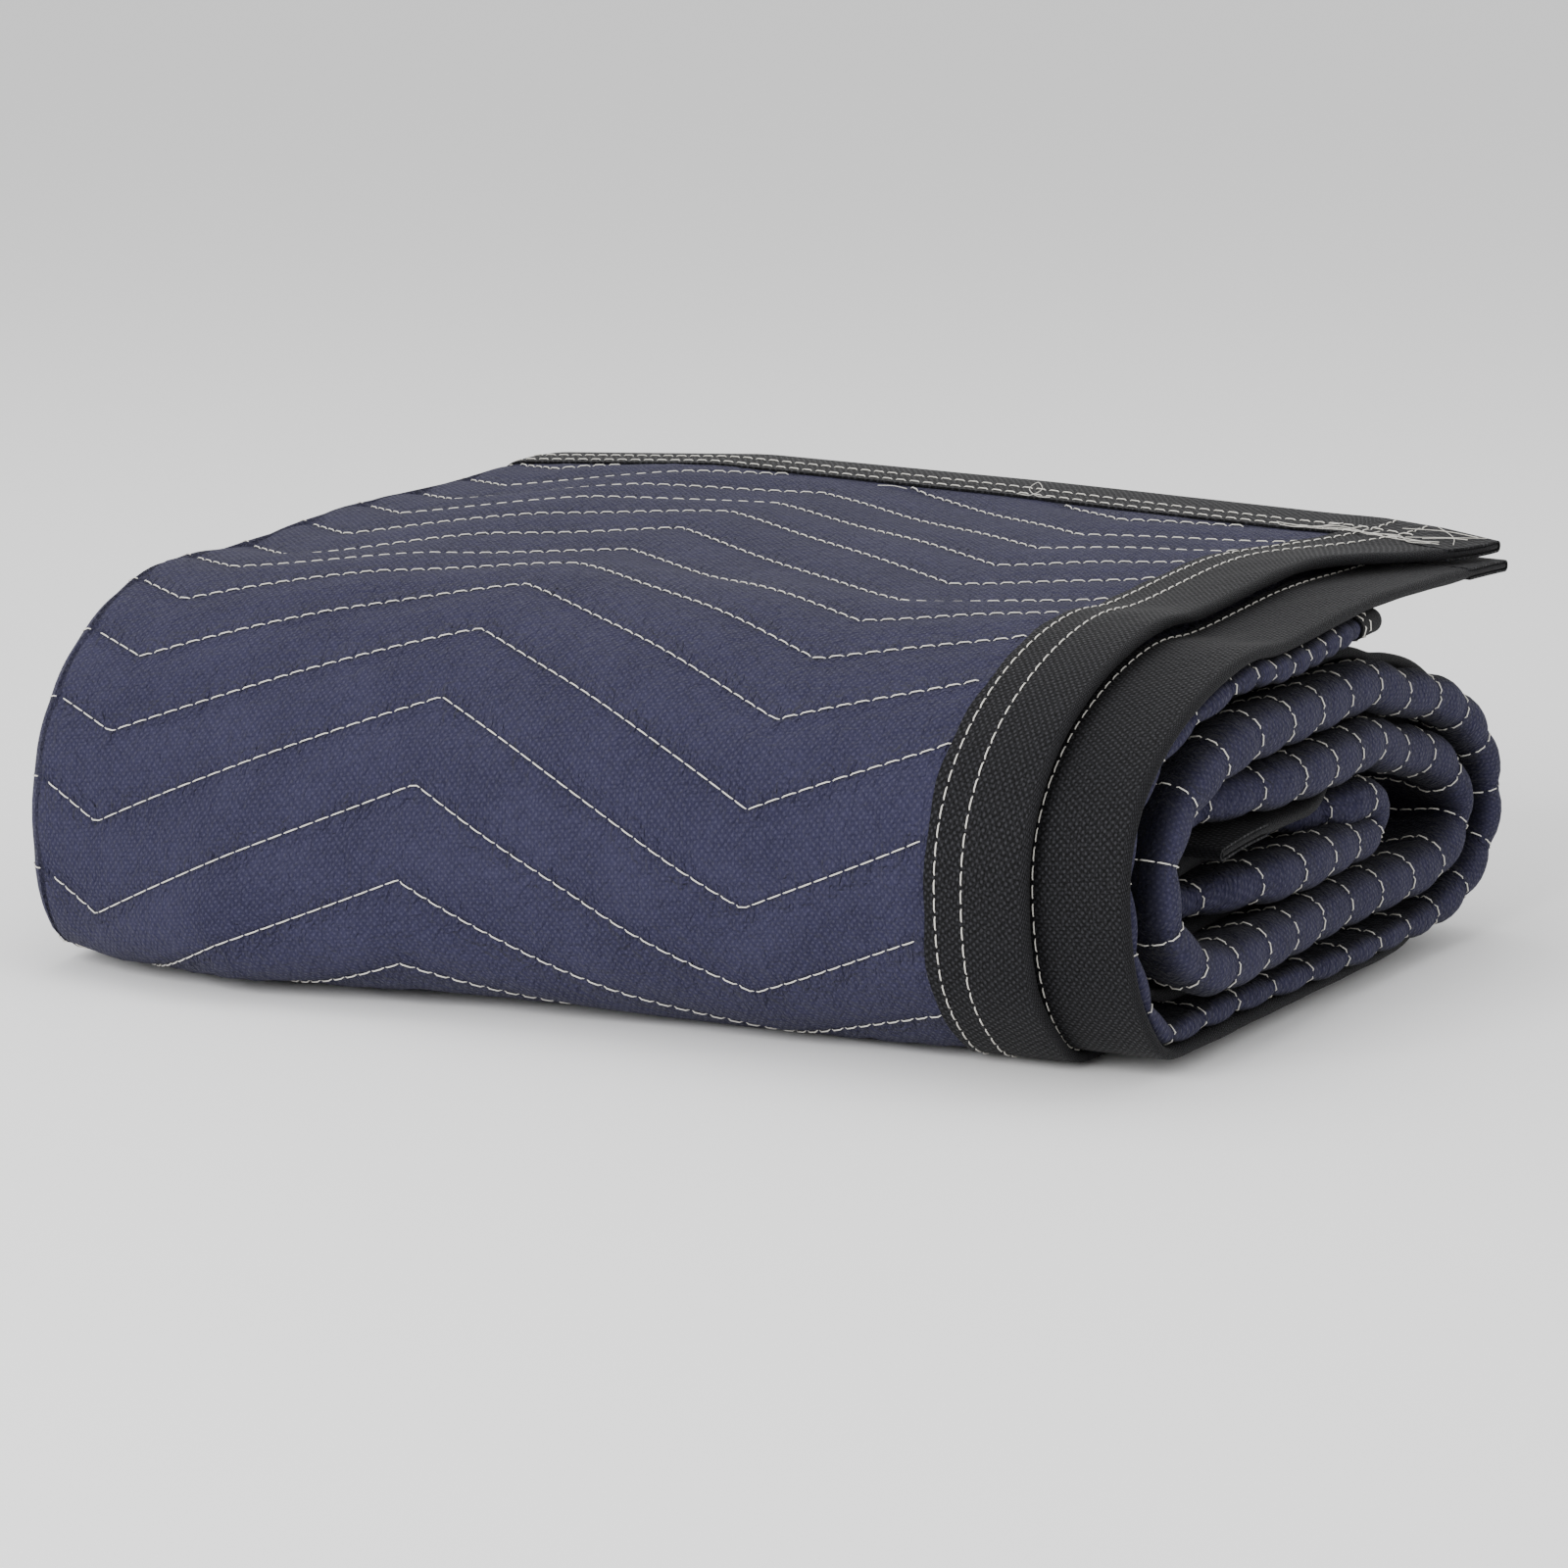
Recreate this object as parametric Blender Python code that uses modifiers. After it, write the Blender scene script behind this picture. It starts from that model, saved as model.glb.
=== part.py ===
# Moving blanket: a quilted furniture pad, 72 x 80 in, folded in four along its length
# and then wound up flat. Units are metres, +Z is up, the front of the bundle faces -Y.
#
# The cloth is one sheet. Its section across the strip is a nest of four layers, from the
# outside in: outer leaf, under leaf, back leaf, inner leaf. The outer and inner leaves
# join at the left end, the under and back leaves join inside them, and the inner and back
# leaves join at the right end, where that fold stands out as a soft blue bulge.
# The strip of four layers is wound as a flat spiral with seven runs, one above the other.

import math
import bpy
import bmesh
import numpy as np

# Cloth and binding
clothThick = 0.0040          # quilted cloth with its filling, at a crest
layerPitch = 0.0050          # from one layer to the next
stitchPinch = 0.62           # share of the thickness left under a row of stitches
boundPinch = 0.50            # share left where the binding grips the edge
frontPinch = 0.86            # share of the pitch left where it is drawn tight round the front
corePinch = 0.16             # what the turn at the core takes off the pitch
bindWidth = 0.039            # binding on each face
bindWall = 0.0008
bindGap = 0.0005             # clear space between binding and cloth
bindRamp = 0.009             # the cloth swells to full thickness over this length
outerSlack = 0.0015          # the outermost leaf stands off the next, except on the floor
endMargin = 0.0015           # from the ends of the spiral path to the ends of the cloth

# The strip across its width; x = 0 is the right column of zigzag points
outerLeafEdge = 0.1092       # bound edge of the outer leaf
underLeafEdge = 0.1425       # bound edge of the under leaf, which stands out further
leftFold = -0.3025           # centre of the two nested folds at the left end
rightFold = 0.1398           # centre of the bulging fold at the right end
bundleCentre = (-0.0809, 0.1781)

# Quilting
rowPitch = 0.0338
legWidth = 0.1372            # across, from a low point of the zigzag to a high point
zigHeight = 0.0624
zigSkew = 0.0171
firstRow = -0.02365          # a row's low point, below the front-most line of the bundle
zigzagFrom = 0.124           # the raised rows begin this far along the strip
zigzagEnd = 0.040            # and end here, near the foot of the front

# The tail, on top at the back
tailEnd = (0.343, 0.1450)
tailLeftRise = 0.0035        # the tail lies higher towards the left end
tailReach = 0.040            # on the left it hangs over the back of the bundle
reachShares = (1.0, 0.75, 0.06)         # at the two inner columns and beside the right fold
hangLength, tailDroop = 0.060, 2.5
tailLift, cornerDroop, nearTail = 0.0012, 0.0040, 0.100
tailHump = (0.215, 0.045, 0.0022)      # place, half width and height of soft humps on top
tailDip = (0.128, 0.035, -0.0015)
tailSetback = 0.128          # the right-hand fold ends this far before the two bound edges
coreEnd = (0.058, 0.076)
cornerReach = 0.030          # the outer leaf's edge runs out over the under leaf's at the tail

# The right end. From the back of the bottom run inwards, the bound edges lie back and
# the folds beside them swell. At the core the edges stand out again.
tuckStart = (0.62, 0.72)
tuckStop = (1.90, 1.97)
edgeTuck = 0.014
edgeRise = 0.0056            # the under leaf's edge is pressed outwards by the fold
riseFrom = 0.1145
swellFrom = 0.110
foldSwell = 0.0050

# Turns of the spiral, from the tail to the core, at the right end of the bundle.
# y and z are the ends of the runs beside the turn and its outermost point.
# The last three columns are what the left end adds to yIn, zTip and yOut.
turnColumns = ("yIn", "zIn", "yTip", "zTip", "yOut", "zOut", "leftIn", "leftTip", "leftOut")
turnTable = {
    "outerFront": (0.114, 0.1375, 0.0086, 0.0720, 0.0445, 0.0097, -0.020, -0.016, -0.020),
    "outerBack":  (0.266, 0.0097, 0.3340, 0.0510, 0.236, 0.1095, 0.0, 0.0, 0.0),
    "innerFront": (0.104, 0.1175, 0.0260, 0.0720, 0.060, 0.0320, -0.014, -0.014, -0.012),
    "innerBack":  (0.250, 0.0305, 0.3130, 0.0530, 0.228, 0.0890, 0.0, 0.0, 0.0),
    "smallFront": (0.088, 0.0980, 0.0435, 0.0755, 0.066, 0.0540, -0.008, -0.003, -0.004),
    "tinyBack":   (0.222, 0.0500, 0.2360, 0.0600, 0.222, 0.0700, 0.0, 0.0, 0.0),
}

# Unevenness of the whole bundle
footShares = (0.85, 1.30, 0.40, 0.0)    # left end, two columns of zigzag points, right end
footBulge, footHeight = 0.035, 0.055     # the front swells forward beside the floor
leftDraw, leftTuck, leftRise, leftDroop = 0.004, 0.022, 0.004, 0.007

# Spacing of the relaxed runs
stripThick = 3 * layerPitch + clothThick
runGap = 0.0022
relaxStep = 0.006
relaxRounds = 420
longestStep = 0.050
chordLimit = 0.0006
angleLimit = 0.46            # rad, between neighbouring lines

collectionName = "moving_blanket"


def ramp(value, low, high):
    t = np.clip((np.asarray(value, float) - low) / (high - low), 0.0, 1.0)
    return t * t * (3 - 2 * t)


# Spiral path

def arcLengths(points):
    steps = np.hypot(*(points[1:] - points[:-1]).T)
    return np.concatenate([[0.0], np.cumsum(steps)])


def resample(points, step):
    along = arcLengths(points)
    count = int(round(along[-1] / step))
    at = np.linspace(0.0, along[-1], count + 1)
    return np.stack([np.interp(at, along, points[:, i]) for i in (0, 1)], 1), at


def soften(points, width, step):
    reach = int(3 * width / step)
    weights = np.exp(-0.5 * (np.arange(-reach, reach + 1) * step / width) ** 2)
    weights /= weights.sum()
    head = 2 * points[0] - points[reach:0:-1]
    tail = 2 * points[-1] - points[-2:-reach - 2:-1]
    padded = np.concatenate([head, points, tail])
    return np.stack([np.convolve(padded[:, i], weights, "valid") for i in (0, 1)], 1)


def plannedPath(leftShare):
    # Straight runs joined by two quarter ellipses at each turn
    pieces = [np.array([tailEnd]) + np.array([[0.0, leftShare * tailLeftRise]])]
    runShare = np.linspace(0.0, 1.0, 41)[1:, None]
    angle = np.radians(np.linspace(0, 90, 31)[1:])
    for row in turnTable.values():
        turn = dict(zip(turnColumns, row))
        yIn = turn["yIn"] + leftShare * turn["leftIn"]
        yOut = turn["yOut"] + leftShare * turn["leftOut"]
        zTip = turn["zTip"] + leftShare * turn["leftTip"]
        start = pieces[-1][-1]
        pieces.append(start + (np.array([yIn, turn["zIn"]]) - start) * runShare)
        pieces.append(np.stack([yIn + (turn["yTip"] - yIn) * np.sin(angle),
                                zTip + (turn["zIn"] - zTip) * np.cos(angle)], 1))
        pieces.append(np.stack([yOut + (turn["yTip"] - yOut) * np.cos(angle),
                                zTip + (turn["zOut"] - zTip) * np.sin(angle)], 1))
    start = pieces[-1][-1]
    pieces.append(start + (np.array(coreEnd) - start) * runShare)
    path = np.concatenate(pieces)
    onTop = arcLengths(path) < tailEnd[0] - turnTable["outerFront"][0]
    for place, width, height in (tailHump, tailDip):
        path[:, 1] += onTop * height * np.exp(-((path[:, 0] - place) / width) ** 2)
    return path


def tightness(y):
    return frontPinch + (1 - frontPinch) * np.clip((y - 0.008) / 0.070, 0.0, 1.0)


def relaxedPath(leftShare):
    # The outer turn stays as planned. The runs inside it are pushed apart until they
    # clear each other, and are kept smooth, as the wound cloth does by itself.
    path, at = resample(plannedPath(leftShare), relaxStep)
    free = np.clip((at - outerWrapEnd) / 0.060, 0.0, 1.0)[:, None]
    index = np.arange(len(path))
    beside = np.abs(index[:, None] - index[None, :]) < 6
    for _ in range(relaxRounds):
        tight = tightness(path[:, 0])
        apart = path[:, None] - path[None]
        distance = np.hypot(apart[..., 0], apart[..., 1]) + 1e-9
        wanted = (tight[:, None] + tight[None]) / 2 * stripThick + runGap
        short = np.where(beside, 0.0, np.clip(wanted - distance, 0.0, None))
        push = (apart / distance[..., None] * short[..., None]).sum(1)
        path = path + 0.5 * free * push / ((short > 0).sum(1) + 1e-9)[:, None]
        bend = np.zeros_like(path)
        bend[1:-1] = (path[2:] + path[:-2]) / 2 - path[1:-1]
        change = np.zeros_like(path)
        change[1:-1] = (bend[2:] + bend[:-2]) / 2 - bend[1:-1]
        path = path - 0.5 * free * change
    return soften(resample(path, 0.002)[0], 0.005, 0.002)


outerWrapEnd = 0.868
rightPath = relaxedPath(0.0)
leftPath = relaxedPath(1.0)
samples = 1100
share = np.linspace(0.0, 1.0, samples)


def evenly(path):
    along = arcLengths(path)
    return np.stack([np.interp(share * along[-1], along, path[:, i]) for i in (0, 1)], 1)


rightPath = evenly(rightPath)
leftPath = evenly(leftPath)
middlePath = (rightPath + leftPath) / 2
pathAt = arcLengths(middlePath)
pathLength = pathAt[-1]


def hanging(path):
    # The path with the stretch of the tail that reaches past its start and droops
    beyond = np.linspace(hangLength, 0.0, 40)[:-1, None]
    start = path[0] + (path[0] - path[10]) / np.hypot(*(path[0] - path[10])) * beyond
    start[:, 1] -= tailDroop * beyond[:, 0] ** 2
    return np.concatenate([start, path])


wideShare = np.concatenate([-np.linspace(hangLength, 0.0, 40)[:-1] / pathLength, share])
rightTrack, leftTrack = hanging(rightPath), hanging(leftPath)


def centre(s, x):
    # Point of the strip's centre line and its outward normal, in the plane across X
    left = np.clip((0.0 - x) / (2 * legWidth), -0.5, 1.15)
    point = np.empty(2)
    along = np.empty(2)
    here = s / pathLength
    for i in (0, 1):
        track = rightTrack[:, i] * (1 - left) + leftTrack[:, i] * left
        point[i] = np.interp(here, wideShare, track)
        along[i] = (np.interp(here + 0.001, wideShare, track)
                    - np.interp(here - 0.001, wideShare, track))
    along /= np.hypot(*along)
    return point, np.array([along[1], -along[0]])


middleTight = tightness(middlePath[:, 0])
pathAlong = np.gradient(middlePath, axis=0)
pathAlong /= np.hypot(*pathAlong.T)[:, None]
pathNormal = np.stack([pathAlong[:, 1], -pathAlong[:, 0]], 1)
outerFace = middlePath + pathNormal * (stripThick / 2 * middleTight)[:, None]
frontIndex = int(np.argmin(outerFace[:samples // 3, 0]))
outerAt = arcLengths(outerFace)
outerAt -= outerAt[frontIndex]
heading = np.unwrap(np.arctan2(pathAlong[:, 1], pathAlong[:, 0]))
curvature = np.abs(np.gradient(heading, pathAt))


def zigzag(x):
    # Level beyond the outer columns of low points
    x = min(max(x, -2 * legWidth), 0.0)
    phase = abs(x / legWidth) % 2.0
    return -zigHeight * (phase if phase < 1 else 2 - phase) + zigSkew * x


# Section of the folded strip

leafSide = {"outer": 1.0, "inner": -1.0, "back": 1.0, "under": -1.0}
plainColumn, footColumn = -0.5 * legWidth, -1.5 * legWidth
smallTurn = (pathAt > 1.50) & (pathAt < 1.80)
smallTurnAt = pathAt[np.argmin(np.where(smallTurn, middlePath[:, 0], 1.0))]
coreTurnAt = pathAt[np.argmax(np.where(pathAt > 1.80, curvature, 0.0))]


def tightAt(s):
    # Share of the layer pitch left at s: the layers are pressed together round the front,
    # and again in the turn at the core
    core = math.exp(-((s - coreTurnAt) / 0.040) ** 2)
    return float(tightness(np.interp(s, pathAt, middlePath[:, 0]))) * (1 - corePinch * core)


def heightShare(s):
    # 0 on the run that lies on the floor, 1 well above it
    z = np.interp(s, pathAt, middlePath[:, 1])
    return float(ramp(z, 0.0105, 0.040))


def insideShare(s):
    # 0 on the outer turn of the spiral, 1 inside it
    return float(ramp(s, outerWrapEnd - 0.05, outerWrapEnd + 0.03))


def tuckedShare(s):
    # 1 where the bound edges lie back between fat folds, 0 where they stand out
    return float(ramp(s, *tuckStart) * (1 - ramp(s, *tuckStop)))


def nook(s):
    # 1 at the small front turn, where the bulging fold draws back
    return math.exp(-((s - smallTurnAt) / 0.060) ** 2)


def leafOffset(leaf, x, s):
    # Distance of a layer's middle from the strip's centre line, outwards positive
    tight = tightAt(s)
    high = heightShare(s)
    inside = insideShare(s)
    outside = high * (1 - inside)
    if leaf == "outer":
        slack = (1 - tight) / (1 - frontPinch)
        lift = -0.0004 + 0.0007 * slack * (1 - inside) + 0.0026 * outside + 0.0006 * inside
        edge = float(np.clip((x - 0.052) / 0.050, 0.0, 1.0))
        return 1.5 * layerPitch * tight + outerSlack * outside + lift * edge
    if leaf == "under":
        # Inside the bundle its edge is pressed outwards, past the outer leaf's edge
        edge = float(np.clip((x - 0.0925) / 0.009, 0.0, 1.0))
        rise = float(np.clip((x - riseFrom) / (underLeafEdge - riseFrom), 0.0, 1.0))
        return (0.5 * layerPitch + edgeRise * tuckedShare(s) * rise) * tight - 0.0002 * edge
    if leaf == "back":
        edge = float(np.clip((x - swellFrom) / (rightFold - swellFrom), 0.0, 1.0))
        swell = foldSwell * tuckedShare(s) ** 2 * edge * (1 - nook(s))
        return (-0.5 * layerPitch + swell) * tight
    return -1.5 * layerPitch * tight


def rightShift(s):
    # The bulging fold wanders in and out, and draws back round the small front turn
    wander = 0.0022 * math.sin(s / 0.083) + 0.0014 * math.sin(s / 0.031 + 1.0)
    return wander - 0.020 * nook(s) - 0.015 * float(ramp(s, *tuckStop))


def edgeShift(leaf, s):
    corner = cornerReach * float(1 - ramp(s, 0.0, 0.130)) if leaf == "outer" else 0.0
    return 0.0014 * math.sin(s / 0.140 + 0.4) - edgeTuck * tuckedShare(s) + corner


def leftShift(s):
    return 0.0020 * math.sin(s / 0.110 + 0.6) + 0.0008 * math.sin(s / 0.042)


def leafStation(leaf, x):
    return {"leaf": leaf, "x": x}


def foldStations(low, high, x, side, facing, angles):
    return [{"low": low, "high": high, "x": x, "side": side, "facing": facing,
             "angle": math.radians(a)} for a in angles]


def sectionPoint(station, s):
    # Middle of the cloth in the section: x, offset, and the direction of the cloth's face
    x = station["x"]
    if "leaf" in station:
        leaf = station["leaf"]
        towardsRight = float(np.clip(x / 0.100, 0.0, 1.0))
        towardsLeft = float(np.clip((-0.230 - x) / 0.0798, 0.0, 1.0))
        right = rightShift(s) if leaf in ("back", "inner") else edgeShift(leaf, s)
        moved = x + towardsRight * right + towardsLeft * leftShift(s)
        return moved, leafOffset(leaf, x, s), (0.0, leafSide[leaf])
    low = leafOffset(station["low"], x, s)
    high = leafOffset(station["high"], x, s)
    side, angle, facing = station["side"], station["angle"], station["facing"]
    shift = rightShift(s) if side > 0 else leftShift(s)
    reach = (high - low) / 2 * (1.15 if side > 0 else 1.0)
    return (x + shift + side * reach * math.cos(angle),
            (high + low) / 2 + (high - low) / 2 * math.sin(angle),
            (facing * side * math.cos(angle), facing * math.sin(angle)))


def boundStations(leaf, edge, bends=()):
    # From the free edge inwards: edge, bends, inner end of the binding, full thickness
    return [leafStation(leaf, x) for x in (edge, *bends, edge - bindWidth,
                                           edge - bindWidth - bindRamp)]


stations = (
    boundStations("outer", outerLeafEdge)
    + [leafStation("outer", -column * legWidth / 2) for column in range(4)]
    + [leafStation("outer", leftFold)]
    + foldStations("inner", "outer", leftFold, -1, 1, (35, -35))
    + [leafStation("inner", x) for x in (leftFold, footColumn, plainColumn, swellFrom, rightFold)]
    + foldStations("inner", "back", rightFold, 1, 1, (-45, 0, 45))
    + [leafStation("back", x) for x in (rightFold, swellFrom, plainColumn, footColumn, leftFold)]
    + foldStations("back", "under", leftFold, -1, -1, (-30, 30))
    + [leafStation("under", x) for x in (leftFold, footColumn, plainColumn)]
    + boundStations("under", underLeafEdge, (riseFrom,))[::-1]
)


def setback(station):
    # How far the tail's end lies behind the end of the bound edges, at this station
    leaf = station.get("leaf", "fold")
    share = (station["x"] - leftFold) / (rightFold - leftFold)
    if leaf in ("inner", "back") or station.get("side") == 1:
        return tailSetback * share
    return 0.0


def settle(x, y, z):
    # The foot of the front bulges out near the left end. The end itself is drawn in and
    # raised at the foot, and droops on top.
    low = math.exp(-(z / footHeight) ** 2)
    ahead = max(0.0, 1.0 - y / 0.150) ** 2
    foot = float(np.interp(x, (leftFold, footColumn, plainColumn, swellFrom), footShares))
    end = float(np.interp(x, (leftFold, footColumn), (1.0, 0.0)))
    y += (end * leftDraw - foot * footBulge) * low * ahead
    z += end * (leftRise * low * ahead - leftDroop * float(ramp(z, 0.070, 0.150)))
    return x + end * leftTuck * low * ahead, y, z


def place(station, s, lift=0.0):
    # A point of the cloth, or one that stands off its middle by lift. Near the tail the
    # left side reaches over the back and the two bound corners droop.
    reach = float(np.interp(station["x"], (footColumn, plainColumn, swellFrom), reachShares))
    s = s + setback(station) * max(0.0, 1.0 - s / 0.250)
    near = max(0.0, 1.0 - s / nearTail) ** 2
    droop = 0.0 if setback(station) else float(ramp(station["x"], 0.080, 0.140))
    rise = (tailLift * reach - cornerDroop * droop) * near
    s = s - tailReach * reach * max(0.0, 1.0 - s / 0.250)
    x, offset, face = sectionPoint(station, s)
    point, normal = centre(s, x)
    offset += lift * face[1]
    x, y, z = settle(x, point[0] + normal[0] * offset, point[1] + normal[1] * offset)
    return x + lift * face[0] - bundleCentre[0], y - bundleCentre[1], z + rise


# Lines across the strip: place along the outer face, share of the zigzag, and a stitch

def outerOf(s):
    return float(np.interp(s, pathAt, outerAt))


def lineAt(line, station):
    # The outer leaf's lines follow the zigzag, and the other layers' lines run straight
    follow = line["zig"] if station.get("leaf") == "outer" else 0.0
    return float(np.interp(line["outer"] + follow * zigzag(station["x"]), outerAt, pathAt))


def layLines():
    lines = []

    def add(s, zig=0.0, stitch=False):
        lines.append({"outer": outerOf(s), "zig": zig, "stitch": stitch})

    for s in (0.0, bindWidth / 2, bindWidth, bindWidth + bindRamp):
        add(endMargin + s)
    add(0.086, 0.5)
    # Crests and stitch rows of the quilting, over the top and down the front
    half = math.ceil((outerOf(zigzagFrom) - firstRow) / (rowPitch / 2))
    outer = firstRow + half * rowPitch / 2
    while outer < zigzagEnd:
        lines.append({"outer": outer, "zig": 1.0, "stitch": half % 2 == 0})
        half += 1
        outer += rowPitch / 2
    for follow in (0.83, 0.67, 0.5, 0.33, 0.17):
        lines.append({"outer": outer, "zig": follow, "stitch": False})
        outer += rowPitch / 5
    # Plain lines from there on, closer together where the path bends
    s = float(np.interp(outer, outerAt, pathAt))
    last = pathLength - endMargin - bindWidth - bindRamp
    while s < last - 0.006:
        add(s)
        near = (pathAt > s) & (pathAt < s + longestStep)
        bend = np.maximum(curvature[near], 2.0)
        step = np.minimum(np.sqrt(8 * chordLimit / bend), angleLimit / bend)
        s += min(longestStep, float((pathAt[near] - s + step).min()))
    for s in (last, last + bindRamp, pathLength - endMargin):
        add(s)
    return lines


lines = layLines()
tailBands = 3                # lines under the binding of the tail


# Objects

def fabric(name, colour, roughness):
    material = bpy.data.materials.new(name)
    material.use_nodes = True
    shader = material.node_tree.nodes["Principled BSDF"]
    shader.inputs["Base Color"].default_value = (*colour, 1.0)
    shader.inputs["Roughness"].default_value = roughness
    shader.inputs["Metallic"].default_value = 0.0
    return material


def newObject(name, mesh, material, collection, origin):
    mesh.materials.append(material)
    piece = bpy.data.objects.new(name, mesh)
    collection.objects.link(piece)
    piece.parent = origin
    return piece


def addSolidify(piece, thickness, group=None):
    solid = piece.modifiers.new("Thickness", "SOLIDIFY")
    solid.thickness = thickness
    solid.offset = 0.0
    solid.use_rim = True
    if group:
        solid.vertex_group = group
        solid.thickness_vertex_group = 0.0
    return solid


def gridMesh(name, grid):
    # A sheet from rows of points; each cell is split along its shorter diagonal
    mesh = bpy.data.meshes.new(name)
    sheet = bmesh.new()
    rows = [[sheet.verts.new(point) for point in row] for row in grid]
    for j in range(len(rows) - 1):
        for i in range(len(rows[0]) - 1):
            a, b = rows[j][i], rows[j][i + 1]
            d, c = rows[j + 1][i], rows[j + 1][i + 1]
            if (a.co - c.co).length < (b.co - d.co).length:
                sheet.faces.new((a, b, c))
                sheet.faces.new((a, c, d))
            else:
                sheet.faces.new((a, b, d))
                sheet.faces.new((b, c, d))
    sheet.to_mesh(mesh)
    sheet.free()
    mesh.shade_smooth()
    mesh.set_sharp_from_angle(angle=math.radians(50))
    return mesh


def clothShare(line, station, j, i):
    # Share of the full thickness at a grid point
    share = tightAt(lineAt(line, station)) ** 3
    if j < tailBands or j > len(lines) - 3 or i < 2 or i > len(stations) - 4:
        return share * boundPinch
    if line["stitch"] and (station.get("leaf") == "outer" or station.get("side") == 1):
        return share * stitchPinch
    return share


def makeCloth(material, collection, origin):
    grid = [[place(station, lineAt(line, station)) for station in stations] for line in lines]
    mesh = gridMesh("quilted_cloth", grid)
    piece = newObject("quilted_cloth", mesh, material, collection, origin)
    group = piece.vertex_groups.new(name="thickness")
    for j, line in enumerate(lines):
        for i, station in enumerate(stations):
            group.add([j * len(stations) + i], clothShare(line, station, j, i), "REPLACE")
    addSolidify(piece, clothThick, "thickness")


def bindingLift(line, station):
    # Middle of the binding's wall, measured from the middle of the cloth
    share = boundPinch * tightAt(lineAt(line, station)) ** 3
    return clothThick * share / 2 + bindGap + bindWall / 2


def makeSideBinding(name, leaf, edge, bends, material, collection, origin):
    # A strip folded over a bound edge, between the two end bindings
    rim = edge + bindGap + bindWall / 2
    lipEnd = edge - bindWidth + bindGap
    side = [leafStation(leaf, x) for x in (lipEnd, *bends, rim)]
    run = lines[tailBands - 1:-1]
    grid = []
    for j, line in enumerate(run):
        lift = bindingLift(line, side[0])
        nudge = 0.0005 if j == 0 else (-0.0005 if j == len(run) - 1 else 0.0)
        s = lineAt(line, boundLine[leaf]) + nudge
        grid.append([place(station, s, lift) for station in side]
                    + [place(station, s, -lift) for station in reversed(side)])
    mesh = gridMesh(name, grid)
    addSolidify(newObject(name, mesh, material, collection, origin), bindWall)


boundLine = {"outer": leafStation("outer", outerLeafEdge),
             "under": leafStation("under", underLeafEdge)}


def makeEndBinding(name, atTail, material, collection, origin):
    # A strip folded over an end of the cloth, through all its layers
    bands = lines[:tailBands][::-1] if atTail else lines[-2:]          # from the strip's lip to its edge
    away = -1 if atTail else 1
    across = list(stations)
    across[0] = leafStation("outer", outerLeafEdge + bindGap + bindWall)
    across[-1] = leafStation("under", underLeafEdge + bindGap + bindWall)
    shifts = [0.0] * (len(bands) - 1) + [away * (bindGap + bindWall / 2)]
    profile = [(line, shift, 1) for line, shift in zip(bands, shifts)]
    profile += [(line, shift, -1) for line, shift, _ in profile[::-1]]
    grid = [[place(station, lineAt(line, station) + shift, side * bindingLift(line, station))
             for station in across] for line, shift, side in profile]
    mesh = gridMesh(name, grid)
    addSolidify(newObject(name, mesh, material, collection, origin), bindWall)


def main():
    for old in list(bpy.data.objects):
        bpy.data.objects.remove(old, do_unlink=True)
    collection = bpy.data.collections.new(collectionName)
    bpy.context.scene.collection.children.link(collection)
    origin = bpy.data.objects.new("bundle_origin", None)
    collection.objects.link(origin)
    navy = fabric("navy_nonwoven", (0.052, 0.060, 0.125), 0.85)
    black = fabric("black_nonwoven", (0.011, 0.011, 0.012), 0.80)
    makeCloth(navy, collection, origin)
    makeSideBinding("side_binding_outer", "outer", outerLeafEdge, (), black, collection, origin)
    makeSideBinding("side_binding_under", "under", underLeafEdge, (riseFrom,), black, collection, origin)
    makeEndBinding("end_binding_tail", True, black, collection, origin)
    makeEndBinding("end_binding_core", False, black, collection, origin)


main()
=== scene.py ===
import math
import bpy
import numpy as np
from mathutils import Matrix, Vector


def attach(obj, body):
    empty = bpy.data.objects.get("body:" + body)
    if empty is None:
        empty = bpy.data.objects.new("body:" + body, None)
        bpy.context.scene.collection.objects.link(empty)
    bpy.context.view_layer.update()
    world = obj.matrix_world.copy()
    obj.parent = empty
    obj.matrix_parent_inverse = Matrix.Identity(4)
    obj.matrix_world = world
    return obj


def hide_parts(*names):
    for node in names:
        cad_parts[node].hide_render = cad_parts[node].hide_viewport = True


# Quilted moving blanket, folded in four along its length and wound up flat.
# Metres, +Z up, the long front faces -Y and the end with the spiral faces +X.

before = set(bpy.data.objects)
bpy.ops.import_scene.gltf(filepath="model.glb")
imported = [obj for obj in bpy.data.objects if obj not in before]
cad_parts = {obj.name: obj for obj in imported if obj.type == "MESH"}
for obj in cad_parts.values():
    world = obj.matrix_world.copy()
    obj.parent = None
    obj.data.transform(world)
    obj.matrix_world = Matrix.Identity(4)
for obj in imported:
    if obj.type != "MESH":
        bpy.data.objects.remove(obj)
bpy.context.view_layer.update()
print("frame loaded")

# shape of the bundle: a strip of four layers, and the flat spiral that it is wound in

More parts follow.
